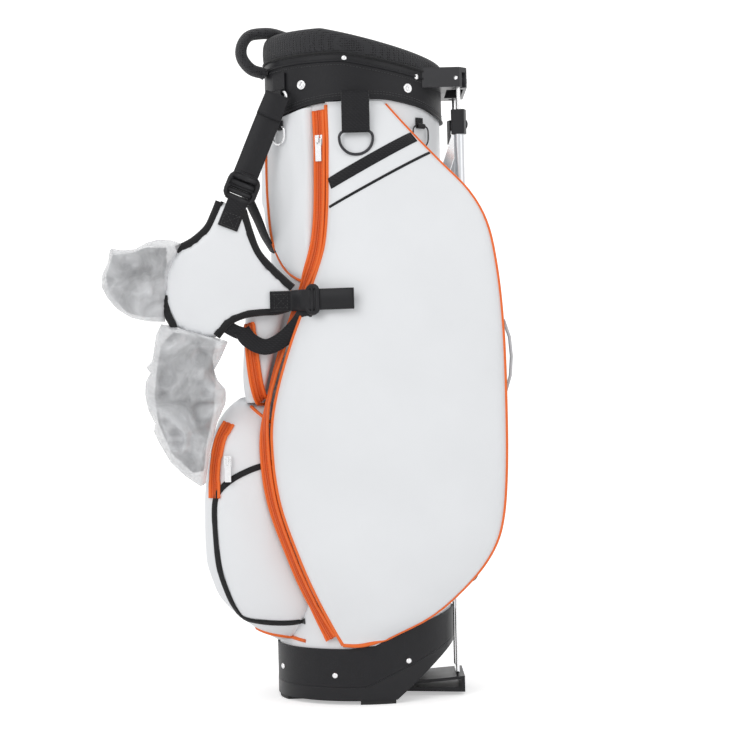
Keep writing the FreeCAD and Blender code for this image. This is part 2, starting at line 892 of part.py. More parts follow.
def leg_link(side):
    """A flat link with an eye for the rod and a slot for the knuckle's pin."""
    frame = Placement(
        Vector(float(s.leg_x), side_sign(side) * float(s.leg_half_y), float(s.leg_pivot_z)),
        leg_frame(side),
    )
    pin = Vector(0, -side_sign(side) * link_plane, link_pin_z)
    eye = frame.inverse().multVec(rod_eye(side))
    reach = pin - eye
    length = math.hypot(reach.x, reach.z)
    lean = math.degrees(math.atan2(reach.x, reach.z))
    plate = block(-6, -link_thick / 2, 0, 12, link_thick, length)
    head = disc(9.5, link_thick, 1, 0, length - 2)
    plate = plate.fuse([disc(6, link_thick, 0, 0, 0), head])
    slot = block(-2.6, -10, length - 6.6, 7, 20, 9.2)
    plate = plate.cut(slot).cut(disc(float(s.rod_dia) / 2 + 0.3, 20, 0, 0, 0))
    turned = Placement(Vector(eye.x, pin.y, eye.z), Rotation(Vector(0, 1, 0), lean))
    plate.Placement = turned
    free_shape(f"leg_link_{side}", in_swing_plane(side, plate))


def leg_pins():
    pins = [
        free_shape(f"pin_{side}", in_swing_plane(side, disc(float(s.pin_dia) / 2, 17, 0, 0, 0)))
        for side in ("near", "far")
    ]
    return group("leg_pins", *pins)


stand_bracket()
bracket_screws()
for side in ("near", "far"):
    leg_parts(side)
    leg_link(side)
leg_pins()


# ---------------------------------------------------------------- pockets
def along(points, z):
    """The value at height z on straight runs through (z, value) points, lowest first."""
    for (low, before), (high, after) in zip(points, points[1:]):
        if z <= high:
            return before + (after - before) * (z - low) / (high - low)
    return points[-1][1]


def sleeve_y(x, half_x=None, half_y=None):
    """Half width towards the flanks of the sleeve's ellipse at x, nothing past its end."""
    half_x = float(half_x or s.sleeve_half_x)
    half_y = float(half_y or s.sleeve_half_y)
    return half_y * math.sqrt(max(0.0, 1 - (x / half_x) ** 2))


# the flank pocket's edge beside the zip, its edge over the legs and its stand-out, by height
ZIP_EDGE = [
    (72, -27), (136, -60), (188, -82), (265, -107), (343, -115), (395, -109),
    (466, -88), (536, -61), (600, -40), (716, -35), (780, -36),
]
LEG_EDGE = [
    (72, 14), (84, 28), (111, 84), (148, 129), (186, 161), (224, 178), (288, 186), (389, 188),
    (491, 186), (568, 179), (620, 168), (659, 147), (699, 110), (739, 73), (778, 39),
]
STAND_OUT = [
    (82, 112), (110, 122), (136, 132), (188, 145), (265, 150), (395, 150), (466, 149),
    (536, 145), (600, 138), (660, 130), (716, 119), (774, 108),
]
LEVELS = (82, 110, 136, 188, 265, 343, 395, 466, 536, 600, 660, 716, 774)


def ring_wire(points, z):
    return Part.makePolygon([Vector(x, y, z) for x, y in points + points[:1]])


def section_loft(sections):
    """A closed solid through level outlines, given as (height, points)."""
    return Part.makeLoft([ring_wire(points, z) for z, points in sections], True, True)


def flank_section(z, side):
    """Outline of a flank pocket at height z, open towards the sleeve."""
    left = along(ZIP_EDGE, z) * float(s.sleeve_half_x) / 115
    right = along(LEG_EDGE, z) * float(s.pocket_reach) / 188
    out = along(STAND_OUT, z) * float(s.pocket_out) / 148
    wide = right - left
    skin = sleeve_y(left)
    bay = float(s.leg_bay_half_y)
    points = [
        (left + 7, max(0.8 * skin, 44)),
        (left + 1, skin + 0.5 * (out - skin)),
        (left + 0.25 * wide, 0.97 * out),
        (left + 0.5 * wide, out),
        (left + 0.82 * wide, 0.94 * out),
        (right, max(0.78 * out, bay + 4)),
        (right - 2, bay),
        (min(52, right - 8), bay),
        (min(20, right - 16), 0.7 * bay),
    ]
    return [(x, y * side_sign(side)) for x, y in points]


def front_section(root, reach, half):
    """Outline of a pocket on the harness side, from its seam on the sleeve out to its reach."""
    deep = root - reach
    inside = max(root + 8, -0.94 * float(s.sleeve_half_x))
    near = [
        (inside, 0.8 * sleeve_y(inside)),
        (root, min(sleeve_y(inside) + 4, 0.8 * half)),
        (root - 0.07 * deep, 0.9 * half),
        (root - 0.35 * deep, half),
        (reach + 0.2 * deep, half),
        (reach + 0.03 * deep, 0.62 * half),
    ]
    return [(x, -y) for x, y in near] + [(x, y) for x, y in reversed(near)]


sleeve_clear = oval(
    "sleeve_clear", s.sleeve_half_x + s.fit_gap, s.sleeve_half_y + s.fit_gap, 0, 900
)
skirt_clear = common(
    "skirt_clear",
    oval("skirt_clear_oval", band_out_x + s.fit_gap, band_out_y + s.fit_gap, 0, 300),
    side_prism("skirt_clear_side", [(-REACH, 0), (REACH, 0)] + skirt_brow(0.5)),
)
keep_out = group("keep_out", sleeve_clear, skirt_clear)


def flank_pocket(side):
    solid = section_loft([(z, flank_section(z, side)) for z in LEVELS])
    return cut(f"side_pocket_{side}", free_shape(f"flank_{side}_solid", solid), keep_out)


def harness_side_pocket(name, reach_scale, rows):
    """rows: height, seam on the sleeve, reach and half width."""
    solid = section_loft(
        [(z, front_section(root, reach * reach_scale, half)) for z, root, reach, half in rows]
    )
    return cut(name, free_shape(name + "_solid", solid), keep_out)


def upper_pocket():
    shell = cut(
        "upper_pocket_ring",
        oval("upper_pocket_oval", s.upper_pocket_reach, s.sleeve_half_y + 8.5, 500, 800),
        sleeve_clear,
    )
    side = side_prism(
        "upper_pocket_side",
        [(-REACH, 603), (-114, 603), (-98, 574), (-82, 562), (-74, 564), (-58, 603)]
        + [(-58, s.band_low + 12), (-band_out_x, s.band_low - 2), (-REACH, s.band_low - 2)],
    )
    return common("upper_pocket", shell, side)


ball_scale = float(s.ball_pocket_reach) / 205
ball_half = float(s.ball_pocket_half_y) / 92
mid_scale = float(s.mid_pocket_reach) / 150
flank_pocket("near")
flank_pocket("far")
upper_pocket()
harness_side_pocket(
    "mid_pocket",
    mid_scale,
    [(402, -128, -146, 70), (420, -122, -150, 78), (466, -108, -150, 78)]
    + [(500, -96, -147, 78), (530, -86, -140, 78), (546, -84, -128, 66)],
)
harness_side_pocket(
    "ball_pocket",
    ball_scale,
    [
        (z, root, reach, half * ball_half)
        for z, root, reach, half in [
            (82, -104, -122, 60), (110, -80, -160, 80), (136, -66, -187, 90),
            (150, -72, -195, 92), (188, -87, -205, 92), (265, -111, -205, 92),
            (340, -119, -197, 92), (366, -118, -190, 80), (397, -114, -161, 45),
        ]
    ],
)


# ---------------------------------------------------------------- zips
def edge_band(offset, wide, low, high):
    """Side outline of a strip that follows the flank pocket's zip edge."""
    heights = [low] + [z for z, _ in ZIP_EDGE if low < z < high] + [high]
    inner = [(along(ZIP_EDGE, z) - offset, z) for z in heights]
    return inner + [(x - wide, z) for x, z in reversed(inner)]


def zip_tape_side():
    strip = side_prism("tape_side_prism", edge_band(1.5, float(s.tape_wide) - 1.5, 480, 770), 400)
    put(strip, y=-200)
    ring = cut(
        "tape_side_ring",
        oval("tape_side_oval", s.sleeve_half_x + tape_out, s.sleeve_half_y + tape_out, 400, 800),
        sleeve_clear,
    )
    return common("zip_tape_side", ring, strip)


def plate_tape(name, corners, y):
    """A flat tape outline seen from the flank, its back at y."""
    plate = side_prism(name, corners, s.tape_thick)
    return put(plate, y=y - float(s.tape_thick) / 2)


def surface_spot(x, half_x, half_y):
    """Point and outward direction on an ellipse's near flank at x."""
    y = -sleeve_y(x, half_x, half_y)
    out = Vector(x / float(half_x) ** 2, y / float(half_y) ** 2, 0).normalize()
    return Vector(x, y, 0), out


def facing(out):
    """Turns local -Y into the outward direction."""
    return Rotation(Vector(0, -1, 0), out)


def zip_slider(name, spot, z, out):
    """A slider on the tape and its hanging pull, drawn facing -Y at the origin."""
    body = block(-5, -5, -7, 10, 4.7, 14)
    body = body.fuse(block(-1.5, -9, -3, 3, 4.2, 2)).fuse(block(-1.5, -9, 3, 3, 4.2, 2))
    body = body.fuse(block(-1.5, -9.5, -3, 3, 1.4, 8))
    hinge = Part.makeCylinder(0.7, 8, Vector(-4, -6.5, 1.9), Vector(1, 0, 0))
    pull = block(-4, -7.2, -27, 8, 1.4, 28.9).cut(block(-2, -8, -5.2, 4, 3, 6.4)).fuse(hinge)
    for word, shape in (("slider", body), ("pull", pull)):
        shape.Placement = Placement(spot + Vector(0, 0, z), facing(out))
        free_shape(f"zip_{word}_{name}", shape)


zip_tape_side()
plate_tape(
    "zip_tape_mid", [(-139, 430), (-126, 430), (-126, 520), (-139, 520)], -78 - float(s.fit_gap)
)
ball_face = -float(s.ball_pocket_half_y) - float(s.fit_gap)
plate_tape("zip_tape_ball", [(-185, 180), (-170, 180), (-164, 338), (-179, 338)], ball_face)
zip_at, zip_out = surface_spot(-43.7, s.sleeve_half_x + tape_out, s.sleeve_half_y + tape_out)
zip_slider("side", zip_at, 729, zip_out)
zip_slider("ball", Vector(-172.6, ball_face - float(s.tape_thick), 0), 318, Vector(0, -1, 0))


# ---------------------------------------------------------------- rings and their tabs
def hung_ring(ring, tab, spot, out, top, wide, drop, wire, tab_wide, tab_high):
    """A ring in a loop of webbing; drawn facing -Y, its hinge bar at the origin."""
    loop_r = wire / 2 + 0.4
    thick = float(s.webbing)
    top_r = wide / 2 - tab_wide / 2 - 1.5
    low_r = min(wide / 2, drop - top_r) - 0.6
    half = wide / 2
    corners = [(-2, 0), (-half, 0), (-half, -drop), (half, -drop), (half, 0), (2, 0)]
    path = rounded_path([Vector(x, 0, z) for x, z in corners], [top_r, low_r, low_r, top_r])
    bar = sweep_wire(path + [Part.makeLine(Vector(2, 0, 0), Vector(-2, 0, 0))], wire / 2)
    strap = block(-tab_wide / 2, loop_r, 0, tab_wide, thick, tab_high)
    strap = strap.fuse(
        Part.makeCylinder(
            loop_r + thick, tab_wide, Vector(-tab_wide / 2, 0, 0), Vector(1, 0, 0)
        )
    )
    strap = strap.cut(
        Part.makeCylinder(loop_r, 2 * tab_wide, Vector(-tab_wide, 0, 0), Vector(1, 0, 0))
    )
    stand = loop_r + thick + float(s.fit_gap)
    place = Placement(spot + out * stand + Vector(0, 0, top), facing(out))
    for name, shape in ((ring, bar), (tab, strap)):
        shape.Placement = place
        free_shape(name, shape)


tab_spot = Vector(3, -(float(s.pocket_out) / 148) * 115.9, 0)
hung_ring(
    "towel_ring", "towel_tab", tab_spot, Vector(0, -1, 0), 738, 43, 30, float(s.ring_wire), 24, 36
)
umbrella_spot, umbrella_out = surface_spot(85, s.sleeve_half_x, s.sleeve_half_y)
hung_ring(
    "umbrella_ring", "umbrella_tab", umbrella_spot, umbrella_out, 748, 28, 28, 2.0, 12, 11
)
accessory_spot, accessory_out = surface_spot(-95, s.upper_pocket_reach, s.sleeve_half_y + 8.5)
hung_ring(
    "accessory_ring", "accessory_tab", accessory_spot, accessory_out, 750, 22, 22, 2.6, 10, 9
)
anchor_spot, anchor_out = surface_spot(-95, band_out_x, band_out_y)
hung_ring("strap_ring", "strap_anchor", anchor_spot, anchor_out, 796, 38, 20, 4.0, 24, 26)

# ---------------------------------------------------------------- shoulder harness and handles
def flat_piece(outline, low_y, thick):
    """A flat piece with that outline seen from the flank, from low_y towards the far flank."""
    face = Part.Face(Part.makePolygon([Vector(x, low_y, z) for x, z in outline + outline[:1]]))
    return face.extrude(Vector(0, thick, 0))


def ribbon(points, thick, low, high):
    """An upright strap through (x, y) points: that thick, between two heights."""
    walls = []
    for start, end in zip(points, points[1:]):
        run = Vector(end[0] - start[0], end[1] - start[1], 0)
        wall = block(0, -thick / 2, low, run.Length, thick, high - low)
        wall.Placement = Placement(
            Vector(start[0], start[1], 0), Rotation(Vector(1, 0, 0), run)
        )
        walls.append(wall)
    for x, y in points[1:-1]:
        walls.append(Part.makeCylinder(thick / 2, high - low, Vector(x, y, low)))
    return walls[0].fuse(walls[1:]).removeSplitter() if len(walls) > 1 else walls[0]


def slanted(start, end, half_wide):
    """Corners of a straight strap between two (x, z) points, seen from the flank."""
    run = Vector(end[0] - start[0], end[1] - start[1], 0).normalize() * half_wide
    return [
        (start[0] - run.y, start[1] + run.x),
        (start[0] + run.y, start[1] - run.x),
        (end[0] + run.y, end[1] - run.x),
        (end[0] - run.y, end[1] + run.x),
    ]


hang_y = float(s.harness_y)
half_pad = float(s.pad_thick) / 2
half_strap = float(s.strap_wide) / 2
strap_thick = 3.0
ring_end = (-99, 787)
strap_end = (-158.8, 648.1)
strap_back = -83.1  # the upper strap hangs close to its ring


def strap_upper():
    strap = flat_piece(slanted(ring_end, strap_end, half_strap), strap_back - 1.5, strap_thick)
    return free_shape("strap_upper", strap)


def strap_adjuster_upper():
    """A flat buckle that the upper strap runs through."""
    run = Vector(strap_end[0] - ring_end[0], strap_end[1] - ring_end[1], 0)
    start, end = (
        (ring_end[0] + run.x * t, ring_end[1] + run.y * t) for t in (0.78, 0.93)
    )
    frame = flat_piece(slanted(start, end, half_strap + 5), strap_back - 5, 10)
    gap = float(s.fit_gap)
    hole = flat_piece(
        slanted(ring_end, strap_end, half_strap + gap), strap_back - 1.5 - gap, strap_thick + 2 * gap
    )
    return free_shape("strap_adjuster_upper", frame.cut(hole))


# the four armed pad that joins the straps, clockwise from its top arm's left corner
YOKE = [
    (-174.5, 654.5), (-192, 619), (-213, 602), (-234, 592), (-251, 568), (-252, 533), (-238, 495),
    (-213, 482), (-185, 478), (-169, 496), (-148, 505), (-127, 508), (-105, 509), (-88, 514),
    (-80, 542), (-92, 548), (-113, 567), (-135, 590), (-138, 620), (-143.5, 640.7),
]


def harness_pads():
    thick = float(s.pad_thick)
    free_shape("strap_yoke", flat_piece(YOKE, hang_y - half_pad, thick))
    left = [(-252.6, 528), (-251.6, 572), (-262, 596), (-300, 604), (-334, 582), (-338, 530)]
    left += [(-318, 494), (-280, 486), (-258, 500)]
    lower = [(-187, 477.1), (-212.8, 481), (-226, 482), (-262, 440), (-272, 390), (-262, 330)]
    lower += [(-236, 300)]
    lower += [(-212, 310), (-208, 360), (-212, 400), (-190, 440)]
    free_shape("shoulder_pad_left", flat_piece(left, hang_y - half_pad, thick))
    free_shape("shoulder_pad_lower", flat_piece(lower, hang_y - half_pad, thick))


def strap_side():
    """The webbing from the yoke's right arm round the flank pocket's edge, its buckle and tail."""
    back = hang_y - half_pad - 0.3 - 1.0
    path = [(-110, back), (-82, back), (-71, -123), (-3, -149.5)]
    band = ribbon(path, float(s.webbing), 510, 536)
    free_shape("strap_tail", band)
    run = Vector(path[3][0] - path[2][0], path[3][1] - path[2][1], 0).normalize()
    start = Vector(path[2][0], path[2][1], 0) + run * 6
    end = start + run * 18
    ends = [(start.x, start.y), (end.x, end.y)]
    longer = [(start.x - run.x * 2, start.y - run.y * 2), (end.x + run.x * 2, end.y + run.y * 2)]
    frame = ribbon(ends, float(s.webbing) + 5, 505, 541)
    hole = ribbon(longer, float(s.webbing) + 0.6, 509.7, 536.3)
    free_shape("strap_adjuster_side", frame.cut(hole))


def lower_webbing():
    """The slack webbing under the yoke and its metal clip, which stays shut."""
    back = hang_y + half_pad + 0.3
    slack = [(-172, 500), (-172, 486), (-146, 462), (-124, 452), (-104, 462), (-92, 486), (-92, 512)]
    slack += [(-106, 512), (-108, 486), (-124, 470), (-140, 478), (-158, 500)]
    free_shape("lower_webbing", flat_piece(slack, back, float(s.webbing)))


def lift_handle():
    """A padded loop over the rim, in the upright plane that holds the axis and the handle."""
    rim, flange = float(s.rim_high), float(s.band_high)
    out = 1 / math.hypot(0.961 / float(band_out_x), 0.276 / float(band_out_y))
    outline = [
        (out - 19, rim + 0.6), (out - 18, rim + 5), (out - 3, rim + 8.5), (out + 15, rim + 6),
        (out + 28, rim - 1), (out + 33, rim - 14), (out + 31, rim - 28), (out + 22, flange + 4),
        (out + 5, flange - 9), (out + 0.5, flange - 12), (out + 0.5, flange - 2),
        (out + 11, flange + 8), (out + 17, flange + 18), (out + 18, flange + 28),
        (out + 14, flange + 35), (out + 6, flange + 39), (out + 0.6, rim - 3), (out + 0.6, rim + 0.6),
    ]
    shape = flat_piece(outline, -13, 26)
    shape.Placement = Placement(Vector(), Rotation(Vector(0, 0, 1), 196))
    free_shape("lift_handle", shape)


def side_grab_handle():
    reach = float(s.pocket_reach)
    arch = [(reach + 0.6, 396), (reach + 8, 420), (reach + 10, 445), (reach + 8, 470)]
    arch += [(reach + 0.6, 493)]
    inner = [(x - 2.6, z) for x, z in arch[1:-1]]
    outline = arch + [(reach + 0.6, 484)] + inner[::-1] + [(reach + 0.6, 405)]
    free_shape("side_grab_handle", flat_piece(outline, -113, 22))


strap_upper()
strap_adjuster_upper()
harness_pads()
strap_side()
lower_webbing()
lift_handle()
side_grab_handle()


# ---------------------------------------------------------------- export
NODES = """base_moulding base_feet base_skirt base_rivets foot_lever foot_lever_pin actuator_rod
rod_guides cuff_ring club_divider divider_sleeve body_sleeve body_stays cuff_band rim_pad
cuff_rivets cuff_snaps stand_bracket bracket_screws leg_pins
leg_stem_near leg_stem_far leg_knuckle_near leg_knuckle_far leg_tube_near leg_tube_far
leg_foot_near leg_foot_far leg_link_near leg_link_far
side_pocket_near side_pocket_far upper_pocket mid_pocket ball_pocket
zip_tape_side zip_tape_mid zip_tape_ball zip_slider_side zip_pull_side zip_slider_ball
zip_pull_ball towel_ring towel_tab umbrella_ring umbrella_tab accessory_ring accessory_tab
strap_ring strap_anchor strap_upper strap_adjuster_upper strap_yoke shoulder_pad_left
shoulder_pad_lower strap_tail strap_adjuster_side lower_webbing lift_handle
side_grab_handle""".split()


def export_nodes():
    doc.recompute()
    for thing in doc.Objects:
        bad = [word for word in thing.State if word in ("Invalid", "Error")]
        if bad:
            raise RuntimeError(f"{thing.Name} did not compute: {bad}")
    for node in NODES:
        shape = doc.getObject(node).Shape
        if shape.isNull() or not shape.isValid() or not shape.Solids:
            raise RuntimeError(f"{node} has no valid solid")
        shape.exportStep(os.path.join("parts", node + ".step"))


export_nodes()
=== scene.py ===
import math

import bpy
from mathutils import Matrix, Vector, noise
from mathutils.bvhtree import BVHTree
from mathutils.geometry import delaunay_2d_cdt


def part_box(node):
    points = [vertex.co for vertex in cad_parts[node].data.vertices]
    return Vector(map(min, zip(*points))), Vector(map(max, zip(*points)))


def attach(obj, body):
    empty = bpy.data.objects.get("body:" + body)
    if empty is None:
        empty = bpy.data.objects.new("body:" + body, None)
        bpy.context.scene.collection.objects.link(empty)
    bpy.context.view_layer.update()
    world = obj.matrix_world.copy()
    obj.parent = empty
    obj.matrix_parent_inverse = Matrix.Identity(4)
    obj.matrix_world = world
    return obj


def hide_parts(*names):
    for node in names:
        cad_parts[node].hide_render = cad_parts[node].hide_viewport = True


# A golf stand bag: +Z up, legs on +X, shoulder harness on -X, flanks on +Y and -Y.
# Lengths in this script are millimetres unless a name says otherwise; Blender gets metres.
MM = 0.001

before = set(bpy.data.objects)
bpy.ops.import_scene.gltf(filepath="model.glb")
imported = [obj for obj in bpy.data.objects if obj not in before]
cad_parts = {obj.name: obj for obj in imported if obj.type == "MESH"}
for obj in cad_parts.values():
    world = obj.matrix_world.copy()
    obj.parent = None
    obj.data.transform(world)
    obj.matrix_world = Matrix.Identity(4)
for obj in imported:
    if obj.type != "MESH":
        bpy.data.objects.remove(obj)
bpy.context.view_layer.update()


# ---------------------------------------------------------------- frame sizes
def node_box(name):
    low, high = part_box(name)
    return [v / MM for v in low], [v / MM for v in high]


SLEEVE_X, SLEEVE_Y = node_box("body_sleeve")[1][:2]
BAND_X, BAND_Y = node_box("cuff_band")[1][:2]
RIM_TOP = node_box("rim_pad")[1][2]
YOKE_FACE = node_box("strap_yoke")[0][1]
YOKE_BACK = node_box("strap_yoke")[1][1]


# ---------------------------------------------------------------- materials
def nodes_of(name):
    material = bpy.data.materials.new(name)
    material.use_nodes = True
    tree = material.node_tree
    return material, tree, tree.nodes["Principled BSDF"]


def object_coordinates(tree):
    return tree.nodes.new("ShaderNodeTexCoord").outputs["Object"]


def texture(tree, kind, scale, **settings):
    """A texture node on object coordinates; returns its first useful value output."""
    node = tree.nodes.new(f"ShaderNodeTex{kind}")
    node.inputs["Scale"].default_value = scale
    for key, value in settings.items():
        if key in node.inputs:
            node.inputs[key].default_value = value
        else:
            setattr(node, key, value)
    tree.links.new(object_coordinates(tree), node.inputs["Vector"])
    return node.outputs["Distance" if kind == "Voronoi" else "Fac"]


def ramp(tree, value, start, end, low=0.0, high=1.0):
    node = tree.nodes.new("ShaderNodeMapRange")
    node.inputs["From Min"].default_value = start
    node.inputs["From Max"].default_value = end
    node.inputs["To Min"].default_value = low
    node.inputs["To Max"].default_value = high
    tree.links.new(value, node.inputs["Value"])
    return node.outputs["Result"]


def maths(tree, operation, one, two):
    node = tree.nodes.new("ShaderNodeMath")
    node.operation = operation
    for socket, value in zip(node.inputs, (one, two)):
        if isinstance(value, (int, float)):
            socket.default_value = value
        else:
            tree.links.new(value, socket)
    return node.outputs["Value"]


def mixed_colour(tree, fac, one, two):
    node = tree.nodes.new("ShaderNodeMix")
    node.data_type = "RGBA"
    tree.links.new(fac, node.inputs[0])
    node.inputs[6].default_value = (*one, 1)  # the colour sockets follow the plain ones
    node.inputs[7].default_value = (*two, 1)
    return node.outputs[2]


def bump(tree, shader, height, strength, depth):
    node = tree.nodes.new("ShaderNodeBump")
    node.inputs["Strength"].default_value = strength
    node.inputs["Distance"].default_value = depth * MM
    tree.links.new(height, node.inputs["Height"])
    tree.links.new(node.outputs["Normal"], shader.inputs["Normal"])


def shade(tree, shader, colour, spread, cloud, rough, rough_spread):
    """Colour and roughness that drift a little over the surface."""
    darker = tuple(max(0.0, c * (1 - spread)) for c in colour)
    lighter = tuple(min(1.0, c * (1 + spread) + spread * 0.02) for c in colour)
    tree.links.new(mixed_colour(tree, cloud, darker, lighter), shader.inputs["Base Color"])
    tree.links.new(
        ramp(tree, cloud, 0, 1, rough - rough_spread, rough + rough_spread),
        shader.inputs["Roughness"],
    )


def leather(name, colour, rough=0.42, grain=420, strength=0.25, wave=0.0):
    """Coated leather: pebbled grain, fine pores and a slow drift of tone."""
    material, tree, shader = nodes_of(name)
    cloud = texture(tree, "Noise", 9, Detail=4)
    pebble = texture(tree, "Voronoi", grain)
    pore = texture(tree, "Noise", grain * 2.2, Detail=2)
    height = maths(tree, "ADD", pebble, maths(tree, "MULTIPLY", pore, 0.5))
    if wave:
        slow = texture(tree, "Noise", 14, Detail=3)
        height = maths(tree, "ADD", height, maths(tree, "MULTIPLY", slow, wave))
    shade(tree, shader, colour, 0.05, cloud, rough, 0.07)
    shader.inputs["Specular IOR Level"].default_value = 0.45
    bump(tree, shader, height, strength, 0.3)
    return material


def woven(name, colour, pitch=1.1, rough=0.8, strength=0.6, spread=0.14):
    """Webbing or cloth: two crossing sets of threads, pitch in millimetres; colour lighter on
    thread crests and darker in the valleys, painted shade, with random fuzz tone.
    """
    material, tree, shader = nodes_of(name)
    scale = 1000 / pitch / 6.3
    along = texture(tree, "Wave", scale, bands_direction="DIAGONAL", wave_profile="SIN")
    across = texture(tree, "Wave", scale, bands_direction="Z", wave_profile="SIN")
    weave = maths(tree, "MULTIPLY", along, across)
    fuzz = texture(tree, "Noise", 900, Detail=3)
    # painted shade: the colour darkens in the weave's valleys between threads; the fuzz adds random
    # tone
    tone = maths(tree, "MULTIPLY", maths(tree, "ADD", weave, fuzz), 0.6)
    shade(tree, shader, colour, spread, tone, rough, 0.06)
    shader.inputs["Sheen Weight"].default_value = 0.15
    bump(tree, shader, weave, strength, 0.35)
    return material


def mesh_cloth(name, colour, pitch=3.0):
    """Spacer mesh: rows of open cells in a knitted face, the cells coloured near-black as painted
    shade.
    """
    material, tree, shader = nodes_of(name)
    cells = texture(tree, "Voronoi", 1000 / pitch, Randomness=0.25)
    holes = ramp(tree, cells, 0.18, 0.45)
    # deep is painted shade: the open cells are coloured near-black instead of being cut as holes
    deep = tuple(c * 0.15 for c in colour)
    tree.links.new(mixed_colour(tree, holes, deep, colour), shader.inputs["Base Color"])
    shader.inputs["Roughness"].default_value = 0.85
    shader.inputs["Sheen Weight"].default_value = 0.2
    bump(tree, shader, holes, 0.8, 0.9)
    return material


def plastic(name, colour, rough=0.38, grain=700, strength=0.12):
    """Moulded plastic with a fine spark-eroded texture."""
    material, tree, shader = nodes_of(name)
    cloud = texture(tree, "Noise", 25, Detail=4)
    fine = texture(tree, "Noise", grain, Detail=3)
    shade(tree, shader, colour, 0.12, cloud, rough, 0.08)
    bump(tree, shader, fine, strength, 0.15)
    return material


def metal(name, colour, rough=0.22, brushed=0.1):
    """Plated metal with faint handling marks."""
    material, tree, shader = nodes_of(name)
    marks = texture(tree, "Noise", 160, Detail=5, Distortion=1.5)
    shade(tree, shader, colour, 0.06, marks, rough, 0.07)
    shader.inputs["Metallic"].default_value = 1
    bump(tree, shader, marks, brushed, 0.05)
    return material


def film(name):
    """Crumpled clear packing film, its colour lighter on the crease ridges and darker in the folds:
    painted highlight and shade.
    """
    material, tree, shader = nodes_of(name)
    crease = texture(tree, "Noise", 16, Detail=4, Distortion=1.6)
    fine = texture(tree, "Voronoi", 24)
    height = maths(tree, "ADD", crease, maths(tree, "MULTIPLY", fine, 0.6))
    # painted highlight and shade: the colour follows the crease height, lighter on ridges and
    # darker in folds
    shade(tree, shader, (0.80, 0.81, 0.83), 0.10, crease, 0.2, 0.08)
    tree.links.new(ramp(tree, crease, 0.3, 0.7, 0.42, 0.8), shader.inputs["Alpha"])
    shader.inputs["Specular IOR Level"].default_value = 0.6
    bump(tree, shader, height, 0.45, 5)
    material.surface_render_method = "BLENDED"
    return material


WHITE = (0.83, 0.845, 0.865)
ORANGE = (0.86, 0.155, 0.018)
BLACK = (0.012, 0.012, 0.014)

white_leather = leather("white_leather", WHITE, 0.4, 520, 0.1, 2.0)
white_panel = leather("white_panel", WHITE, 0.38, 620, 0.07, 1.2)
black_leather = leather("black_leather", (0.014, 0.014, 0.016), 0.46, 380, 0.3)
orange_piping = leather("orange_piping", ORANGE, 0.45, 700, 0.12)
orange_tape = woven("orange_tape", (0.80, 0.13, 0.014), 1.4, 0.75, 0.7)
zip_teeth = plastic("zip_teeth", (0.74, 0.12, 0.016), 0.35)
black_webbing = woven("black_webbing", BLACK, 1.3, 0.8, 0.8, 0.4)
black_binding = woven("black_binding", (0.01, 0.01, 0.011), 0.9, 0.75, 0.5, 0.3)
black_mesh = mesh_cloth("black_mesh", (0.035, 0.035, 0.038))
lining = woven("lining", (0.06, 0.06, 0.065), 0.8, 0.85, 0.3)
black_plastic = plastic("black_plastic", (0.016, 0.016, 0.018))
bracket_plastic = plastic("bracket_plastic", (0.02, 0.02, 0.023), 0.32, 400, 0.2)
rubber = plastic("rubber", (0.014, 0.014, 0.014), 0.75, 300, 0.4)
steel = metal("steel", (0.78, 0.78, 0.79))
dark_ring = metal("dark_ring", (0.05, 0.05, 0.055), 0.3)
tube_metal = metal("tube_metal", (0.62, 0.63, 0.65), 0.3, 0.15)
clear_film = film("clear_film")
white_thread = woven("white_thread", (0.72, 0.73, 0.75), 0.5, 0.7, 0.4)
black_thread = woven("black_thread", (0.03, 0.03, 0.032), 0.5, 0.6, 0.4)

for dark in (black_leather, black_webbing, black_binding, black_mesh, black_plastic):
    shader = dark.node_tree.nodes["Principled BSDF"]
    shader.inputs["Specular IOR Level"].default_value = 0.22
grip_trim = plastic("grip_trim", (0.50, 0.51, 0.53), 0.4)

NODE_FINISH = {
    black_plastic: "base_moulding cuff_ring club_divider rod_guides foot_lever "
    "strap_adjuster_upper strap_adjuster_side leg_knuckle_near leg_knuckle_far",
    bracket_plastic: "stand_bracket",
    rubber: "base_feet leg_foot_near leg_foot_far",
    black_leather: "base_skirt cuff_band strap_anchor",
    white_leather: "body_sleeve",
    grip_trim: "side_grab_handle",
    lining: "divider_sleeve",
    black_webbing: "umbrella_tab accessory_tab",
    steel: "actuator_rod leg_stem_near leg_stem_far leg_pins foot_lever_pin leg_link_near "
    "leg_link_far accessory_ring strap_ring zip_slider_side zip_slider_ball "
    "zip_pull_side zip_pull_ball bracket_screws",
    dark_ring: "towel_ring umbrella_ring",
    tube_metal: "leg_tube_near leg_tube_far body_stays",
}
for finish, names in NODE_FINISH.items():
    for name in names.split():
        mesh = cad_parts[name].data
        mesh.materials.clear()
        mesh.materials.append(finish)


# ---------------------------------------------------------------- mesh helpers
def piece(name, points, faces, material, body="bag", smooth=True, soften=0):
    """A mesh piece in millimetres that rides on a body; soften adds subdivision levels."""
    mesh = bpy.data.meshes.new(name)
    mesh.from_pydata([Vector(p) * MM for p in points], [], faces)
    mesh.materials.append(material)
    obj = bpy.data.objects.new(name, mesh)
    bpy.context.scene.collection.objects.link(obj)
    mesh.polygons.foreach_set("use_smooth", [smooth] * len(mesh.polygons))
    mesh.update()
    if soften:
        level = obj.modifiers.new("soften", "SUBSURF")
        level.levels = level.render_levels = soften
    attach(obj, body)
    return obj


def grid_faces(rows, columns, round_columns=False, round_rows=False):
    """Faces between neighbouring points of a grid, each way open or joined end to end."""
    faces = []
    for r in range(rows if round_rows else rows - 1):
        for c in range(columns if round_columns else columns - 1):
            nr, nc = (r + 1) % rows, (c + 1) % columns
            low, high = r * columns, nr * columns
            faces.append((low + c, low + nc, high + nc, high + c))
    return faces


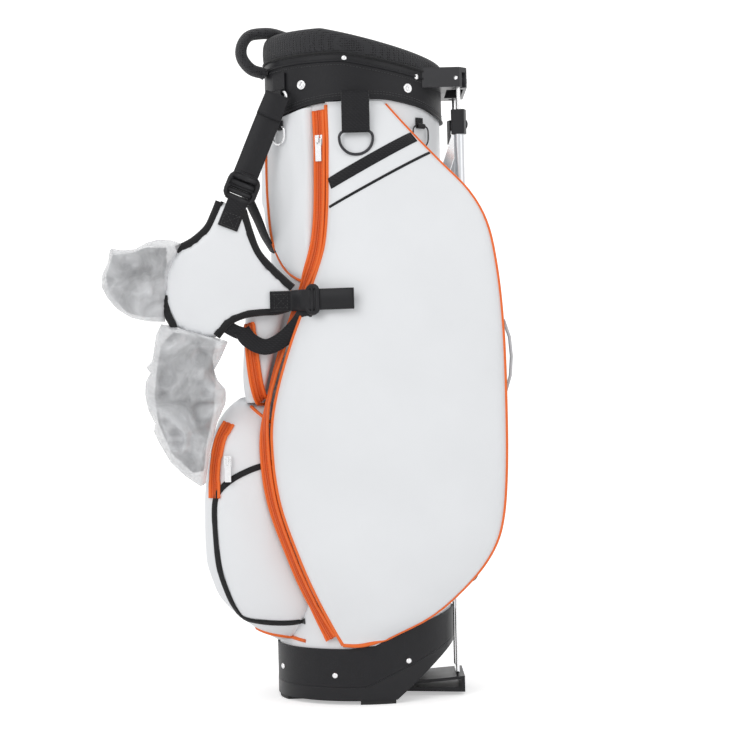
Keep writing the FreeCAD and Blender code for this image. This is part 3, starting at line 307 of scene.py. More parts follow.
def smooth_curve(points, steps=6, closed=False):
    """Points on a Catmull-Rom curve through the given points."""
    points = [Vector(p) for p in points]
    count = len(points)
    result = []
    for i in range(count if closed else count - 1):
        if closed:
            a, b, c, d = (points[(i + k) % count] for k in (-1, 0, 1, 2))
        else:
            a, b = points[max(i - 1, 0)], points[i]
            c, d = points[i + 1], points[min(i + 2, count - 1)]
        for step in range(steps):
            t = step / steps
            result.append(
                0.5 * (2 * b + (c - a) * t + (2 * a - 5 * b + 4 * c - d) * t * t
                       + (3 * b - a - 3 * c + d) * t * t * t)
            )
    if not closed:
        result.append(points[-1])
    return result


def even(points, spacing, closed=False):
    """The same path with points about evenly spaced."""
    points = list(points) + ([points[0]] if closed else [])
    lengths = [0.0]
    for a, b in zip(points, points[1:]):
        lengths.append(lengths[-1] + (b - a).length)
    count = max(2, round(lengths[-1] / spacing))
    result, i = [], 0
    for k in range(count if closed else count + 1):
        want = lengths[-1] * k / count
        while i < len(points) - 2 and lengths[i + 1] < want:
            i += 1
        span = lengths[i + 1] - lengths[i] or 1
        result.append(points[i].lerp(points[i + 1], (want - lengths[i]) / span))
    return result


def value_at(table, z):
    """A smooth value at height z from (z, value) rows, lowest first."""
    rows = sorted(table)
    z = min(max(z, rows[0][0]), rows[-1][0])
    for i in range(len(rows) - 1):
        if z <= rows[i + 1][0]:
            break
    (z0, a), (z1, b) = rows[i], rows[i + 1]
    before, after = rows[max(i - 1, 0)], rows[min(i + 2, len(rows) - 1)]
    slope_a = (b - before[1]) / (z1 - before[0])
    slope_b = (after[1] - a) / (after[0] - z0)
    t = (z - z0) / (z1 - z0)
    h = z1 - z0
    return (
        a * (2 * t**3 - 3 * t**2 + 1) + slope_a * h * (t**3 - 2 * t**2 + t)
        + b * (3 * t**2 - 2 * t**3) + slope_b * h * (t**3 - t**2)
    )


def sleeve_y(x, half_x=SLEEVE_X, half_y=SLEEVE_Y):
    return half_y * math.sqrt(max(0.0, 1 - (x / half_x) ** 2))


def swept(name, path, section, material, up=None, closed=False, body="bag", soften=0):
    """Carries a section of (sideways, outward) points along a path, with outward from up."""
    count = len(path)
    points = []
    for i, p in enumerate(path):
        before = path[i - 1] if (i or closed) else p
        after = path[(i + 1) % count] if (i < count - 1 or closed) else p
        run = (after - before).normalized()
        out = Vector(up[i] if up else (0, -1, 0))
        side = run.cross(out).normalized()
        out = side.cross(run).normalized()
        points += [p + side * a + out * b for a, b in section]
    n = len(section)
    faces = grid_faces(count, n, True, closed)
    if not closed:
        faces += [tuple(range(n)), tuple(reversed(range(n * (count - 1), n * count)))]
    return piece(name, points, faces, material, body, soften=soften)


def round_section(radius, sides=10):
    return [
        (radius * math.cos(2 * math.pi * k / sides), radius * math.sin(2 * math.pi * k / sides))
        for k in range(sides)
    ]


def flat_section(wide, thick, low=0.0):
    """A strap's section: flat with rounded edges, standing on low."""
    w, t = wide / 2, thick
    e = min(t * 0.5, w * 0.3)
    return [(-w, low + t * 0.5), (-w + e, low), (w - e, low), (w, low + t * 0.5),
            (w - e, low + t), (0, low + t * 1.04), (-w + e, low + t)]


class Surface:
    """Finds the surface of some objects on either flank, to lay trims on it."""

    def __init__(self, *objects):
        points, faces = [], []
        graph = bpy.context.evaluated_depsgraph_get()
        for obj in objects:
            mesh = obj.evaluated_get(graph).to_mesh()
            start = len(points)
            points += [obj.matrix_world @ v.co for v in mesh.vertices]
            faces += [tuple(start + v for v in f.vertices) for f in mesh.polygons]
        self.tree = BVHTree.FromPolygons(points, faces)

    def at(self, x, z, far=False):
        """(point, outward) in millimetres on the near or far flank at x, z."""
        way = -1 if far else 1
        spot, normal, _, _ = self.tree.ray_cast(
            Vector((x * MM, -0.6 * way, z * MM)), Vector((0, way, 0))
        )
        if spot is None:
            return None
        if normal.y * way > 0:
            normal = -normal
        return spot / MM, normal

    def lay(self, name, path, section, material, closed=False, spacing=5, far=False):
        """Sweeps a section along (x, z) points laid on the surface."""
        flat = [Vector((x, 0, z)) for x, z in path]
        flat = even(smooth_curve(flat, 8, closed), spacing, closed)
        found = [self.at(p.x, p.z, far) for p in flat]
        found = [f for f in found if f]
        return swept(name, [p for p, _ in found], section, material, [n for _, n in found], closed)


STITCH_FACES = ((0, 1, 5, 4), (1, 2, 6, 5), (2, 3, 7, 6), (3, 0, 4, 7), (0, 3, 2, 1),
                (4, 5, 6, 7))


def stitches(name, path, outs, material, long=2.6, gap=1.6, thick=0.35, body="bag"):
    """A row of short raised stitches along a path with its outward directions."""
    points, faces = [], []
    travelled, due = 0.0, 0.0
    for i in range(len(path) - 1):
        run = path[i + 1] - path[i]
        length = run.length
        if length == 0:
            continue
        run = run / length
        while due <= travelled + length:
            centre = path[i] + run * (due - travelled)
            out = Vector(outs[i])
            side = run.cross(out).normalized()
            start = len(points)
            for end in (-0.5, 0.5):
                for a, b in ((-1, 0.1), (0, 1), (1, 0.1), (0, -0.6)):
                    points.append(centre + run * long * end + (side * a + out * b) * thick)
            faces += [tuple(start + k for k in f) for f in STITCH_FACES]
            due += long + gap
        travelled += length
    return piece(name, points, faces, material, body, smooth=False)


# ---------------------------------------------------------------- flank pockets
# the panel's edge beside the zip, its edge over the legs, how far its middle and its two
# edges stand out from the axis: rows of (height, millimetres)
ZIP_EDGE = [(72, -27), (136, -60), (188, -82), (265, -107), (343, -115), (395, -109),
            (466, -88), (536, -61), (600, -41), (716, -35), (778, -36)]
LEG_EDGE = [(72, 8), (84, 28), (111, 84), (148, 129), (186, 161), (224, 178), (288, 186),
            (389, 188), (491, 186), (568, 179), (620, 168), (659, 147), (699, 110), (739, 73),
            (778, 39)]
MIDDLE_OUT = [(76, 109), (110, 124), (188, 141), (265, 147), (395, 149), (466, 147),
              (536, 143), (600, 137), (660, 130), (716, 120), (778, 108)]
ZIP_LIP = [(76, 107), (188, 110), (343, 107), (466, 106), (536, 108), (600, 108), (716, 107),
           (778, 104)]
LEG_LIP = [(76, 104), (110, 104), (188, 113), (265, 117), (466, 117), (600, 112), (716, 100),
           (778, 98)]
BAY = 88  # half width of the bay that the legs swing through
PANEL_STEPS = 26  # steps across a panel
LEVELS = 70  # steps up a panel
PANEL_LOW, PANEL_HIGH = 76, 778


def panel_out(z, u):
    """How far the flank panel stands out at height z, u of the way from zip to leg edge."""
    edges = value_at(ZIP_LIP, z) * (1 - u) + value_at(LEG_LIP, z) * u
    crown = max(0.0, value_at(MIDDLE_OUT, z) - edges)
    return edges + crown * math.sin(math.pi * u) ** 0.62


def flank_ring(z, side):
    """The level outline of a flank pocket at height z."""
    left, right = value_at(ZIP_EDGE, z), value_at(LEG_EDGE, z)
    ring = [(left + 6, sleeve_y(left + 6) - 4), (left + 3, sleeve_y(left) + 3)]
    for i in range(PANEL_STEPS + 1):
        u = i / PANEL_STEPS
        x = left + (right - left) * u
        soft = noise.noise(Vector((x * 0.012, z * 0.009, 3.1 * side)))
        edge = min(1.0, 6 * min(u, 1 - u))
        ring.append((x, panel_out(z, u) + 2.2 * soft * edge))
    lip = value_at(LEG_LIP, z)
    ring += [(right - 1, lip - 4), (right - 3, max(BAY + 1, lip - 12)), (right - 5, BAY)]
    inner = min(58, right - 10)
    ring += [((right + inner) / 2, BAY + 0.6), (inner, BAY), (inner - 14, BAY - 10)]
    return [(x, side * y, z) for x, y in ring]


def flank_pocket(side, name):
    """A flank pocket with a bulged panel, closed at its two ends."""
    heights = [PANEL_LOW + (PANEL_HIGH - PANEL_LOW) * i / LEVELS for i in range(LEVELS + 1)]
    rings = [flank_ring(z, side) for z in heights]
    count = len(rings[0])
    points = [p for ring in rings for p in ring]
    faces = grid_faces(len(rings), count, True)
    faces += [tuple(range(count)), tuple(reversed(range(count * LEVELS, count * (LEVELS + 1))))]
    obj = piece(f"flank_pocket_{name}", points, faces, white_panel)
    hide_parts(f"side_pocket_{name}")
    return obj


def edge_path(side, table, lip, low, high, shift=0.0, inset=0.0):
    """Points up one edge of a flank panel."""
    path = []
    for i in range(91):
        z = low + (high - low) * i / 90
        path.append(Vector((value_at(table, z) + shift, side * (value_at(lip, z) + inset), z)))
    return path


flank = {side: flank_pocket(side, name) for side, name in ((-1, "near"), (1, "far"))}
for side, name in ((-1, "near"), (1, "far")):
    up_leg = edge_path(side, LEG_EDGE, LEG_LIP, 84, 774, -1, -1)
    down_zip = list(reversed(edge_path(side, ZIP_EDGE, ZIP_LIP, 78, 774, 1, 0)))
    swept(f"panel_piping_leg_{name}", up_leg, round_section(2.5), orange_piping,
          [(0.6, side, 0)] * len(up_leg))
    swept(f"panel_piping_zip_{name}", down_zip, round_section(2.5), orange_piping,
          [(-0.4, side, 0)] * len(down_zip))
    foot = [down_zip[-1]] + [
        Vector((x, side * (panel_out(z, u) + 0.5), z))
        for x, z, u in ((-12, 77, 0.3), (4, 79, 0.6))
    ] + [up_leg[0]]
    foot = smooth_curve(foot, 6)
    swept(f"panel_piping_foot_{name}", foot, round_section(2.5), orange_piping,
          [(0, side, 0)] * len(foot))


# ---------------------------------------------------------------- pockets on the harness side
def front_ring(root, reach, half, z, wobble):
    """A smooth level outline from the seam on the sleeve out to the reach and back."""
    deep = root - reach
    inside = max(root + 8, -0.92 * SLEEVE_X)
    near = [(inside, 0.75 * sleeve_y(inside)), (root, min(sleeve_y(inside) + 5, 0.8 * half)),
            (root - 0.08 * deep, 0.93 * half), (root - 0.38 * deep, half),
            (reach + 0.2 * deep, 0.99 * half), (reach + 0.02 * deep, 0.8 * half),
            (reach, 0.4 * half)]
    outline = [(x, -y, 0) for x, y in near] + [(x, y, 0) for x, y in reversed(near)]
    ring = smooth_curve(outline, 5, True)
    return [
        Vector((p.x + wobble * noise.noise(Vector((p.y * 0.02, z * 0.02, wobble))),
                p.y + wobble * noise.noise(Vector((p.x * 0.03, z * 0.02, 9 + wobble))), z))
        for p in ring
    ]


def front_pocket(name, node, rows, wobble):
    """rows: height, seam on the sleeve, reach, half width."""
    low, high = rows[0][0], rows[-1][0]
    steps = max(12, int((high - low) / 6))
    rings = []
    for i in range(steps + 1):
        z = low + (high - low) * i / steps
        root, reach, half = (value_at([(r[0], r[k]) for r in rows], z) for k in (1, 2, 3))
        rings.append(front_ring(root, reach, half, z, wobble))
    count = len(rings[0])
    faces = grid_faces(len(rings), count, True)
    faces += [tuple(range(count)), tuple(reversed(range(count * steps, count * (steps + 1))))]
    obj = piece(name, [p for ring in rings for p in ring], faces, white_leather)
    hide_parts(node)
    return obj


BALL_ROWS = [(80, -98, -118, 56), (92, -90, -138, 72), (112, -78, -164, 84), (136, -68, -187, 90),
             (160, -76, -198, 92), (188, -88, -205, 93), (265, -111, -205, 93),
             (310, -117, -201, 92), (345, -118, -194, 88), (370, -116, -186, 76),
             (388, -114, -172, 58), (398, -113, -158, 42)]
MID_ROWS = [(392, -124, -150, 66), (410, -121, -152, 76), (440, -113, -152, 79),
            (480, -102, -150, 79), (515, -92, -145, 78), (535, -86, -138, 72), (552, -84, -124, 58)]
ball = front_pocket("ball_pocket_shell", "ball_pocket", BALL_ROWS, 1.6)
mid = front_pocket("mid_pocket_shell", "mid_pocket", MID_ROWS, 1.4)

UPPER_EDGE = -57  # where the upper pocket meets the zip channel
UPPER_HEM = [(-124, 652), (-120, 625), (-114, 600), (-98, 566), (-79, 548), (-57, 539)]
UPPER_LIFT = 8.5


def upper_pocket():
    """A shallow pocket wrapped round the harness side, with a curved hem."""
    turn = math.acos(UPPER_EDGE / (SLEEVE_X + UPPER_LIFT))
    columns, rows = 72, 34
    points = []
    for r in range(rows + 1):
        for c in range(columns + 1):
            angle = -turn - (2 * math.pi - 2 * turn) * c / columns
            x_side = (SLEEVE_X + UPPER_LIFT) * math.cos(angle)
            low = value_at(UPPER_HEM, x_side)
            top = 757 + (x_side + BAND_X) * 0.27
            z = low + (top - low) * r / rows
            edge = min(c, columns - c) / columns * 520
            rise = min(1.0, edge / 14, (r * (top - low) / rows) / 12 + 0.05)
            crease = 3.0 * noise.noise(Vector((angle * 6, z * 0.012, 2)))
            lift = UPPER_LIFT * math.sin(rise * math.pi / 2) + crease * rise + 0.4
            points.append(((SLEEVE_X + lift) * math.cos(angle),
                           (SLEEVE_Y + lift) * math.sin(angle), z))
    obj = piece("upper_pocket_shell", points, grid_faces(rows + 1, columns + 1), white_leather)
    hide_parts("upper_pocket")
    return obj


upper = upper_pocket()
sleeve_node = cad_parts["body_sleeve"]
harness_side = Surface(sleeve_node, mid, ball, upper)
panel = {side: Surface(flank[side]) for side in flank}

# orange seams of the harness side: a name and its (x, z) path on the flank
SEAMS = {
    "upper_seam": [(-115, 752), (-116, 700), (-115, 655), (-110, 604), (-97, 571), (-79, 553),
                   (-59, 545)],
    "mid_seam_low": [(-143, 387), (-134, 379), (-124, 371), (-113, 362)],
    "ball_seam_low": [(-186, 128), (-168, 108), (-130, 92), (-100, 84), (-78, 80)],
}
for name, path in SEAMS.items():
    for far in (False, True):
        word = "far" if far else "near"
        harness_side.lay(f"{name}_{word}", path, round_section(2.3), orange_piping, far=far)


# ---------------------------------------------------------------- zips
def zip_run(name, middle, outs, wide=15):
    """Tape, two piped edges and the teeth along a path."""
    half = wide / 2
    swept(f"{name}_tape", middle, flat_section(wide, 1.3), orange_tape, outs)
    for word, shift in (("a", -half), ("b", half)):
        section = [(a + shift, b + 1.2) for a, b in round_section(2.1)]
        swept(f"{name}_piping_{word}", middle, section, orange_piping, outs)
    for word, shift in (("a", -1.5), ("b", 1.5)):
        rail = [(a + shift, b + 1.9) for a, b in round_section(0.9, 6)]
        swept(f"{name}_rail_{word}", middle, rail, zip_teeth, outs)
    stitches(f"{name}_teeth", middle, outs, zip_teeth, 1.3, 1.2, 1.9)


def side_zip(side, name):
    """The long zip that follows the flank panel's edge from the cuff to the base."""
    middle, outs = [], []
    for i in range(116):
        z = 80 + (774 - 80) * i / 115
        edge = value_at(ZIP_EDGE, z)
        low = harness_side.at(edge - 16, z, side > 0)
        deep = abs(low[0].y) + 1.5 if low else sleeve_y(edge - 16) + 2
        lip = value_at(ZIP_LIP, z) - 1
        deep = min(deep, lip - 1)
        a = Vector((edge - 1, side * lip, z))
        b = Vector((edge - 16.5, side * deep, z))
        middle.append((a + b) / 2)
        across = (a - b).normalized()
        out = Vector((-across.y, across.x, 0)) * (1 if across.x * side > 0 else -1)
        if out.y * side < 0:
            out = -out
        outs.append(out)
    smooth = [sum(middle[max(0, i - 2):i + 3], Vector()) / len(middle[max(0, i - 2):i + 3])
              for i in range(len(middle))]
    zip_run(f"side_zip_{name}", smooth, outs)


for side, name in ((-1, "near"), (1, "far")):
    side_zip(side, name)

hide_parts("zip_tape_side")


def laid_zip(name, path, node=None, far=False, wide=14):
    """A zip along (x, z) points laid on the harness side's pockets."""
    flat = even(smooth_curve([Vector((x, 0, z)) for x, z in path], 8), 4)
    found = [harness_side.at(p.x, p.z, far) for p in flat]
    found = [f for f in found if f]
    zip_run(name, [p for p, _ in found], [n for _, n in found], wide)
    if node:
        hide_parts(node)


laid_zip("mid_zip", [(-141, 496), (-138, 450), (-134, 415), (-127, 388)], "zip_tape_mid")
laid_zip("ball_zip", [(-171, 366), (-182, 345), (-189, 310), (-191, 270)], "zip_tape_ball", wide=13)
laid_zip("mid_zip_far", [(-141, 496), (-138, 450), (-134, 415), (-127, 388)], far=True)

BINDING = [(-114, 314), (-140, 307), (-166, 295), (-184, 280), (-191, 262), (-191, 225),
           (-187, 180), (-177, 146), (-167, 124), (-156, 112), (-130, 107), (-104, 105),
           (-78, 106)]
for far in (False, True):
    word = "far" if far else "near"
    harness_side.lay(f"panel_binding_{word}", BINDING, flat_section(8, 2.4, -0.4),
                     black_binding, far=far)


# ---------------------------------------------------------------- bands on the panel
def panel_band(name, side, start, end, wide):
    """A sewn band across the flank panel between two (x, z) points."""
    count = 40
    found = [
        panel[side].at(start[0] + (end[0] - start[0]) * i / count,
                       start[1] + (end[1] - start[1]) * i / count, side > 0)
        for i in range(count + 1)
    ]
    found = [f for f in found if f]
    swept(name, [p for p, _ in found], flat_section(wide, 1.2, -0.2), black_webbing,
          [n for _, n in found])


for side, name in ((-1, "near"), (1, "far")):
    panel_band(f"panel_band_wide_{name}", side, (-32, 672), (80, 732), 15)
    panel_band(f"panel_band_thin_{name}", side, (-33, 642), (104, 713), 3.6)


# ---------------------------------------------------------------- cuff
# the band's and the rim's upper edges fall from a knee towards the legs
BAND_HIGH, BAND_KNEE, BAND_FALL = RIM_TOP - 44, -14, 0.2
RIM_KNEE, RIM_FALL = -42, 0.25
FLANGE = 9  # height of the gap between the band and the pad, over the moulding's flange
HEM_LOW, HEM_ARCH = 759, 22


def band_top(x):
    return BAND_HIGH - max(0.0, x - BAND_KNEE) * BAND_FALL


def rim_top(x):
    return RIM_TOP - max(0.0, x - RIM_KNEE) * RIM_FALL


def band_point(angle, z, lift=0.0):
    return Vector(((BAND_X + lift) * math.cos(angle), (BAND_Y + lift) * math.sin(angle), z))


def band_out(angle):
    return Vector((math.cos(angle) / BAND_X, math.sin(angle) / BAND_Y, 0)).normalized()


AROUND = [2 * math.pi * k / 144 for k in range(144)]


def rim_pad():
    points = []
    for angle in AROUND:
        x = BAND_X * math.cos(angle)
        low, high = band_top(x) + FLANGE, rim_top(x)
        tall = high - low
        section = [(0, 0), (1.4, 0.12), (2.0, 0.4), (1.6, 0.7), (-0.6, 0.9), (-4, 0.985), (-7, 1.0),
                   (-10, 0.95), (-12.6, 0.8), (-13.4, 0.45), (-12, 0)]
        out = band_out(angle)
        points += [band_point(angle, low + tall * h) + out * r for r, h in section]
    obj = piece("rim_pad_cover", points, grid_faces(len(AROUND), 11, True, True), black_mesh,
                soften=1)
    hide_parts("rim_pad")


rim_pad()
for name, lift, radius, finish in (
    ("rim_binding", FLANGE + 0.5, 2.0, black_binding), ("band_edge_top", -0.5, 1.7, black_leather)
):
    path = [band_point(a, band_top(BAND_X * math.cos(a)) + lift, 0.6) for a in AROUND]
    swept(name, path, round_section(radius, 8), finish, [band_out(a) for a in AROUND], True)


def hem(x):
    """Height of the cuff band's arched lower edge."""
    arch = [(-118, 0), (-59, 0.75), (0, 1), (41, 1), (88, 0.6), (118, 0)]
    return HEM_LOW + value_at([(place, HEM_ARCH * rise) for place, rise in arch], x)


hem_path = [band_point(a, hem(BAND_X * math.cos(a)) + 0.6, 0.4) for a in AROUND]
swept("band_edge_low", hem_path, round_section(1.7, 8), black_leather,
      [band_out(a) for a in AROUND], True)
for name, rise in (("band_stitch_low", 6), ("band_stitch_low_b", 9)):
    row = [band_point(a, hem(BAND_X * math.cos(a)) + rise, 0.2) for a in AROUND + AROUND[:1]]
    stitches(name, row, [band_out(a) for a in AROUND + AROUND[:1]], black_thread)
row = [band_point(a, band_top(BAND_X * math.cos(a)) - 6, 0.2) for a in AROUND + AROUND[:1]]
stitches("band_stitch_top", row, [band_out(a) for a in AROUND + AROUND[:1]], black_thread)


LATHE_SIDES = 28


def lathed(name, spot, out, profile, material, body="bag"):
    """A turned shape: (radius, height) points about the outward direction at a spot."""
    out = Vector(out).normalized()
    side = out.cross(Vector((0, 0, 1))).normalized()
    top = side.cross(out)
    points = []
    for k in range(LATHE_SIDES):
        a = 2 * math.pi * k / LATHE_SIDES
        radial = side * math.cos(a) + top * math.sin(a)
        points += [Vector(spot) + radial * r + out * h for r, h in profile]
    return piece(name, points, grid_faces(LATHE_SIDES, len(profile), False, True), material, body)


RIVET = [(0.01, 2.4), (1.4, 2.3), (2.8, 1.8), (3.7, 0.9), (3.9, 0.2), (3.9, -0.4)]
SNAP = [(0.01, 1.0), (2.2, 1.0), (2.4, 0.5), (3.0, 0.5), (3.4, 1.9), (4.4, 2.5), (5.6, 2.4),
        (6.3, 1.5), (6.5, 0.2), (6.5, -0.4)]


def studs(name, node, places, profile):
    """Round heads at (angle in degrees, height) on both flanks."""
    for i, (degrees, z) in enumerate(places):
        for side in (-1, 1):
            angle = side * math.radians(degrees)
            lathed(f"{name}_{i}_{'near' if side < 0 else 'far'}",
                               band_point(angle, z, 0.1), band_out(angle), profile, steel)
    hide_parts(node)


studs("cuff_rivet", "cuff_rivets", [(94.9, BAND_HIGH + 2), (45, BAND_HIGH - 20)], RIVET)
studs("cuff_snap", "cuff_snaps", [(124, BAND_HIGH - 29), (53, BAND_HIGH - 36)], SNAP)
studs("base_rivet", "base_rivets", [(62, 54), (110, 38), (158, 43)], RIVET)


# ---------------------------------------------------------------- padded shapes
def edge_distance(p, outline):
    """How far a flat point lies from a closed outline."""
    best = 1e9
    for a, b in zip(outline, outline[1:] + outline[:1]):
        run = b - a
        t = max(0.0, min(1.0, (p - a).dot(run) / max(run.length_squared, 1e-9)))
        best = min(best, (p - a - run * t).length)
    return best


def inside(p, outline):
    """Whether a flat point lies inside a closed outline."""
    odd = False
    for a, b in zip(outline, outline[1:] + outline[:1]):
        if (a.y > p.y) != (b.y > p.y) and p.x < (b.x - a.x) * (p.y - a.y) / (b.y - a.y) + a.x:
            odd = not odd
    return odd


def pillow(name, outline, middle, half, border, material, spacing=6.0, crumple=0.0, seed=0):
    """A padded shape in the X-Z plane around a Y, rounded off within border of its outline."""
    ring = [Vector((p.x, p.z)) for p in even([Vector((x, 0, z)) for x, z in outline], 5, True)]
    xs, zs = [p.x for p in ring], [p.y for p in ring]
    seeds = list(ring)
    rows, columns = int((max(zs) - min(zs)) / spacing), int((max(xs) - min(xs)) / spacing)
    for r in range(rows + 1):
        for c in range(columns + 1):
            p = Vector((min(xs) + (c + 0.5 * (r % 2)) * spacing, min(zs) + r * spacing))
            if inside(p, ring) and edge_distance(p, ring) > spacing * 0.5:
                seeds.append(p)
    rim = [(i, (i + 1) % len(ring)) for i in range(len(ring))]
    flat, _, faces, _, _, _ = delaunay_2d_cdt(seeds, rim, [], 1, 1e-5)
    points, front, back = [], {}, {}
    for i, p in enumerate(flat):
        d = edge_distance(p, ring)
        t = min(1.0, d / border)
        rise = half * math.sqrt(max(0.0, 1 - (1 - t) ** 2))
        fold = 0.0
        if crumple:
            a = noise.noise(Vector((p.x * 0.035 + seed, p.y * 0.03, 3)))
            b = noise.noise(Vector((p.x * 0.075, p.y * 0.06 + seed, 8)))
            fold = crumple * (0.7 - min(1.0, abs(a) * 2.6)) + crumple * 0.6 * (0.5 - abs(b) * 1.8)
            fold = max(-0.35 * half, fold) * t
        front[i] = len(points)
        points.append(Vector((p.x, middle - rise - fold, p.y)))
        if d < 0.05:
            back[i] = front[i]
            continue
        back[i] = len(points)
        points.append(Vector((p.x, middle + rise + fold * 0.5, p.y)))
    shells = [tuple(front[i] for i in f) for f in faces]
    shells += [tuple(back[i] for i in reversed(f)) for f in faces]
    return piece(name, points, shells, material)


def laid_strap(name, path, wide, thick, material, out=(0, -1, 0)):
    """A strap through (x, y, z) points."""
    line = even(smooth_curve([Vector(p) for p in path], 8), 5)
    return swept(name, line, flat_section(wide, thick), material, [Vector(out)] * len(line))


def frame_ring(name, centre, along, wide, tall, bar, material, out=(0, -1, 0)):
    """A rounded rectangular buckle frame with its middle bar, lying across the strap."""
    along, out = Vector(along).normalized(), Vector(out).normalized()
    side = along.cross(out).normalized()
    centre = Vector(centre)
    w, t, r = wide / 2 - bar / 2, tall / 2 - bar / 2, bar * 1.1
    corners = []
    for sx, sz, start in ((1, 1, 0), (-1, 1, 90), (-1, -1, 180), (1, -1, 270)):
        for k in range(5):
            a = math.radians(start + 22.5 * k)
            corners.append(centre + side * (sx * (w - r) + r * math.cos(a))
                           + along * (sz * (t - r) + r * math.sin(a)))
    section = [(a, b * 0.8) for a, b in round_section(bar / 2, 10)]
    swept(name, corners, section, material, [out] * len(corners), True)
    bars = [centre - side * w, centre + side * w]
    return swept(f"{name}_bar", bars, round_section(bar * 0.42, 10), material, [out] * 2)


def box_stitch(name, centre, along, wide, tall, proud, out=(0, -1, 0)):
    """A sewn box with a cross in it."""
    along, out = Vector(along).normalized(), Vector(out).normalized()
    side = along.cross(out).normalized()
    centre = Vector(centre) + out * proud
    c = [centre + side * (sx * wide / 2) + along * (sz * tall / 2)
         for sx, sz in ((1, 1), (-1, 1), (-1, -1), (1, -1))]
    path = [c[0], c[1], c[2], c[3], c[0], c[2], c[3], c[1]]
    stitches(name, path, [out] * len(path), black_thread)


# ---------------------------------------------------------------- harness
YOKE = [(-174, 655), (-192, 619), (-213, 602), (-232, 592), (-251, 568), (-252, 533), (-238, 495),
        (-213, 482), (-185, 478), (-169, 496), (-148, 505), (-127, 508), (-105, 509), (-88, 514),
        (-80, 528), (-88, 541), (-113, 567), (-128, 588), (-137, 614), (-143, 641)]
YOKE_MIDDLE = (YOKE_FACE + YOKE_BACK) / 2
yoke = pillow("yoke_panel", YOKE, YOKE_MIDDLE, (YOKE_BACK - YOKE_FACE) / 2, 9, white_panel)
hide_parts("strap_yoke")
for name, path in {
    "yoke_binding_top": [(-176, 654), (-184, 635), (-193, 619), (-212, 603), (-233, 593)],
    "yoke_binding_near": [(-146, 642), (-139, 616), (-129, 588), (-113, 568), (-93, 548),
                          (-84, 540)],
    "yoke_binding_low": [(-84, 517), (-104, 511), (-126, 510), (-148, 507), (-168, 498),
                         (-184, 480)],
    "yoke_binding_left": [(-250, 534), (-247, 512), (-240, 497), (-240, 490)],
}.items():
    line = even(smooth_curve([Vector((x, YOKE_MIDDLE, z)) for x, z in path], 8), 4)
    section = [(a * 1.05, b * 1.25) for a, b in round_section(5.2, 12)]
    swept(name, line, section, black_binding, [(0, -1, 0)] * len(line))

UP_STRAP = (Vector((-99, 0, 787)) - Vector((-158.8, 0, 648))).normalized()
strap = laid_strap("upper_strap", [(-99, -84, 787), (-118, -84.5, 743), (-137, -84.5, 698),
                                   (-150, -86, 668)], 33, 3, black_leather)
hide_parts("strap_upper")
laid_strap("upper_strap_fold", [(-110, -87.5, 762), (-104, -88, 775), (-99, -88.5, 786),
                                (-97, -86.5, 791)], 33, 2.6, black_leather)
adjuster = Vector((-146.5, -90, 671))
frame_ring("upper_buckle", adjuster, UP_STRAP, 44, 40, 8, black_plastic)
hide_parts("strap_adjuster_upper")
for i, (shift, thick) in enumerate(((13, 9), (4, 8), (-7, 7), (-15, 8))):
    spot = adjuster + UP_STRAP * shift + Vector((0, -2.5, 0))
    side = UP_STRAP.cross(Vector((0, -1, 0))).normalized() * 15.5
    swept(f"upper_buckle_roll_{i}", [spot - side, spot + side], round_section(thick / 2, 12),
          black_plastic, [(0, -1, 0)] * 2)
low_end, high_end = Vector((-166, -96, 619)), Vector((-150, -93, 658))
laid_strap("upper_webbing", [tuple(low_end), tuple((low_end + high_end) / 2), tuple(high_end)],
           27, 2.4, black_webbing)
box_stitch("upper_webbing_stitch", (-162, -96, 629), UP_STRAP, 19, 17, 2.7)
laid_strap("far_webbing", [(-140, -84, 662), (-128, -70, 634), (-118, -50, 608),
                           (-108, -30, 590)], 20, 2.2, black_webbing, (-0.7, -0.7, 0))

tail_box = node_box("strap_tail")
TAIL_Z = (tail_box[0][2] + tail_box[1][2]) / 2
webbing = laid_strap("side_webbing", [(-113, -97, TAIL_Z), (-98, -98, TAIL_Z), (-84, -99, TAIL_Z),
                                      (-72, -104, TAIL_Z - 1)], 26, 2.4, black_webbing)
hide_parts("strap_tail")
box_stitch("side_webbing_stitch", (-99, -98, TAIL_Z), (1, 0, 0), 17, 17, 2.8)
buckle_box = node_box("strap_adjuster_side")
buckle = [(a + b) / 2 for a, b in zip(*buckle_box)]
frame_ring("side_buckle", (buckle[0], buckle[1] - 5, TAIL_Z), (0.82, -0.57, 0), 40, 22, 6,
           black_plastic, (-0.57, -0.82, 0))
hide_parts("strap_adjuster_side")
laid_strap("side_tail", [(-84, -101, TAIL_Z), (-76, -112, TAIL_Z), (-68, -125, TAIL_Z),
                         (-52, -134, TAIL_Z), (-28, -143, TAIL_Z), (-4, -150, TAIL_Z)],
           27, 2.8, black_leather, (-0.5, -0.9, 0))
loop = laid_strap("lower_loop", [(-151, -89, 487), (-141, -90, 473), (-120, -91, 464),
                                 (-97, -93, 474), (-78, -99, 492), (-68, -112, 506),
                                 (-62, -122, 514)], 22, 2.3, black_webbing, (0, -0.9, 0.3))
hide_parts("lower_webbing")
frame_ring("lower_slider", (-156, -90, 484), (0.7, 0, 0.7), 24, 12, 3, steel)
laid_strap("lower_slider_web", [(-170, -89, 492), (-158, -89, 485), (-148, -89, 482)], 17, 2.2,
           black_webbing)


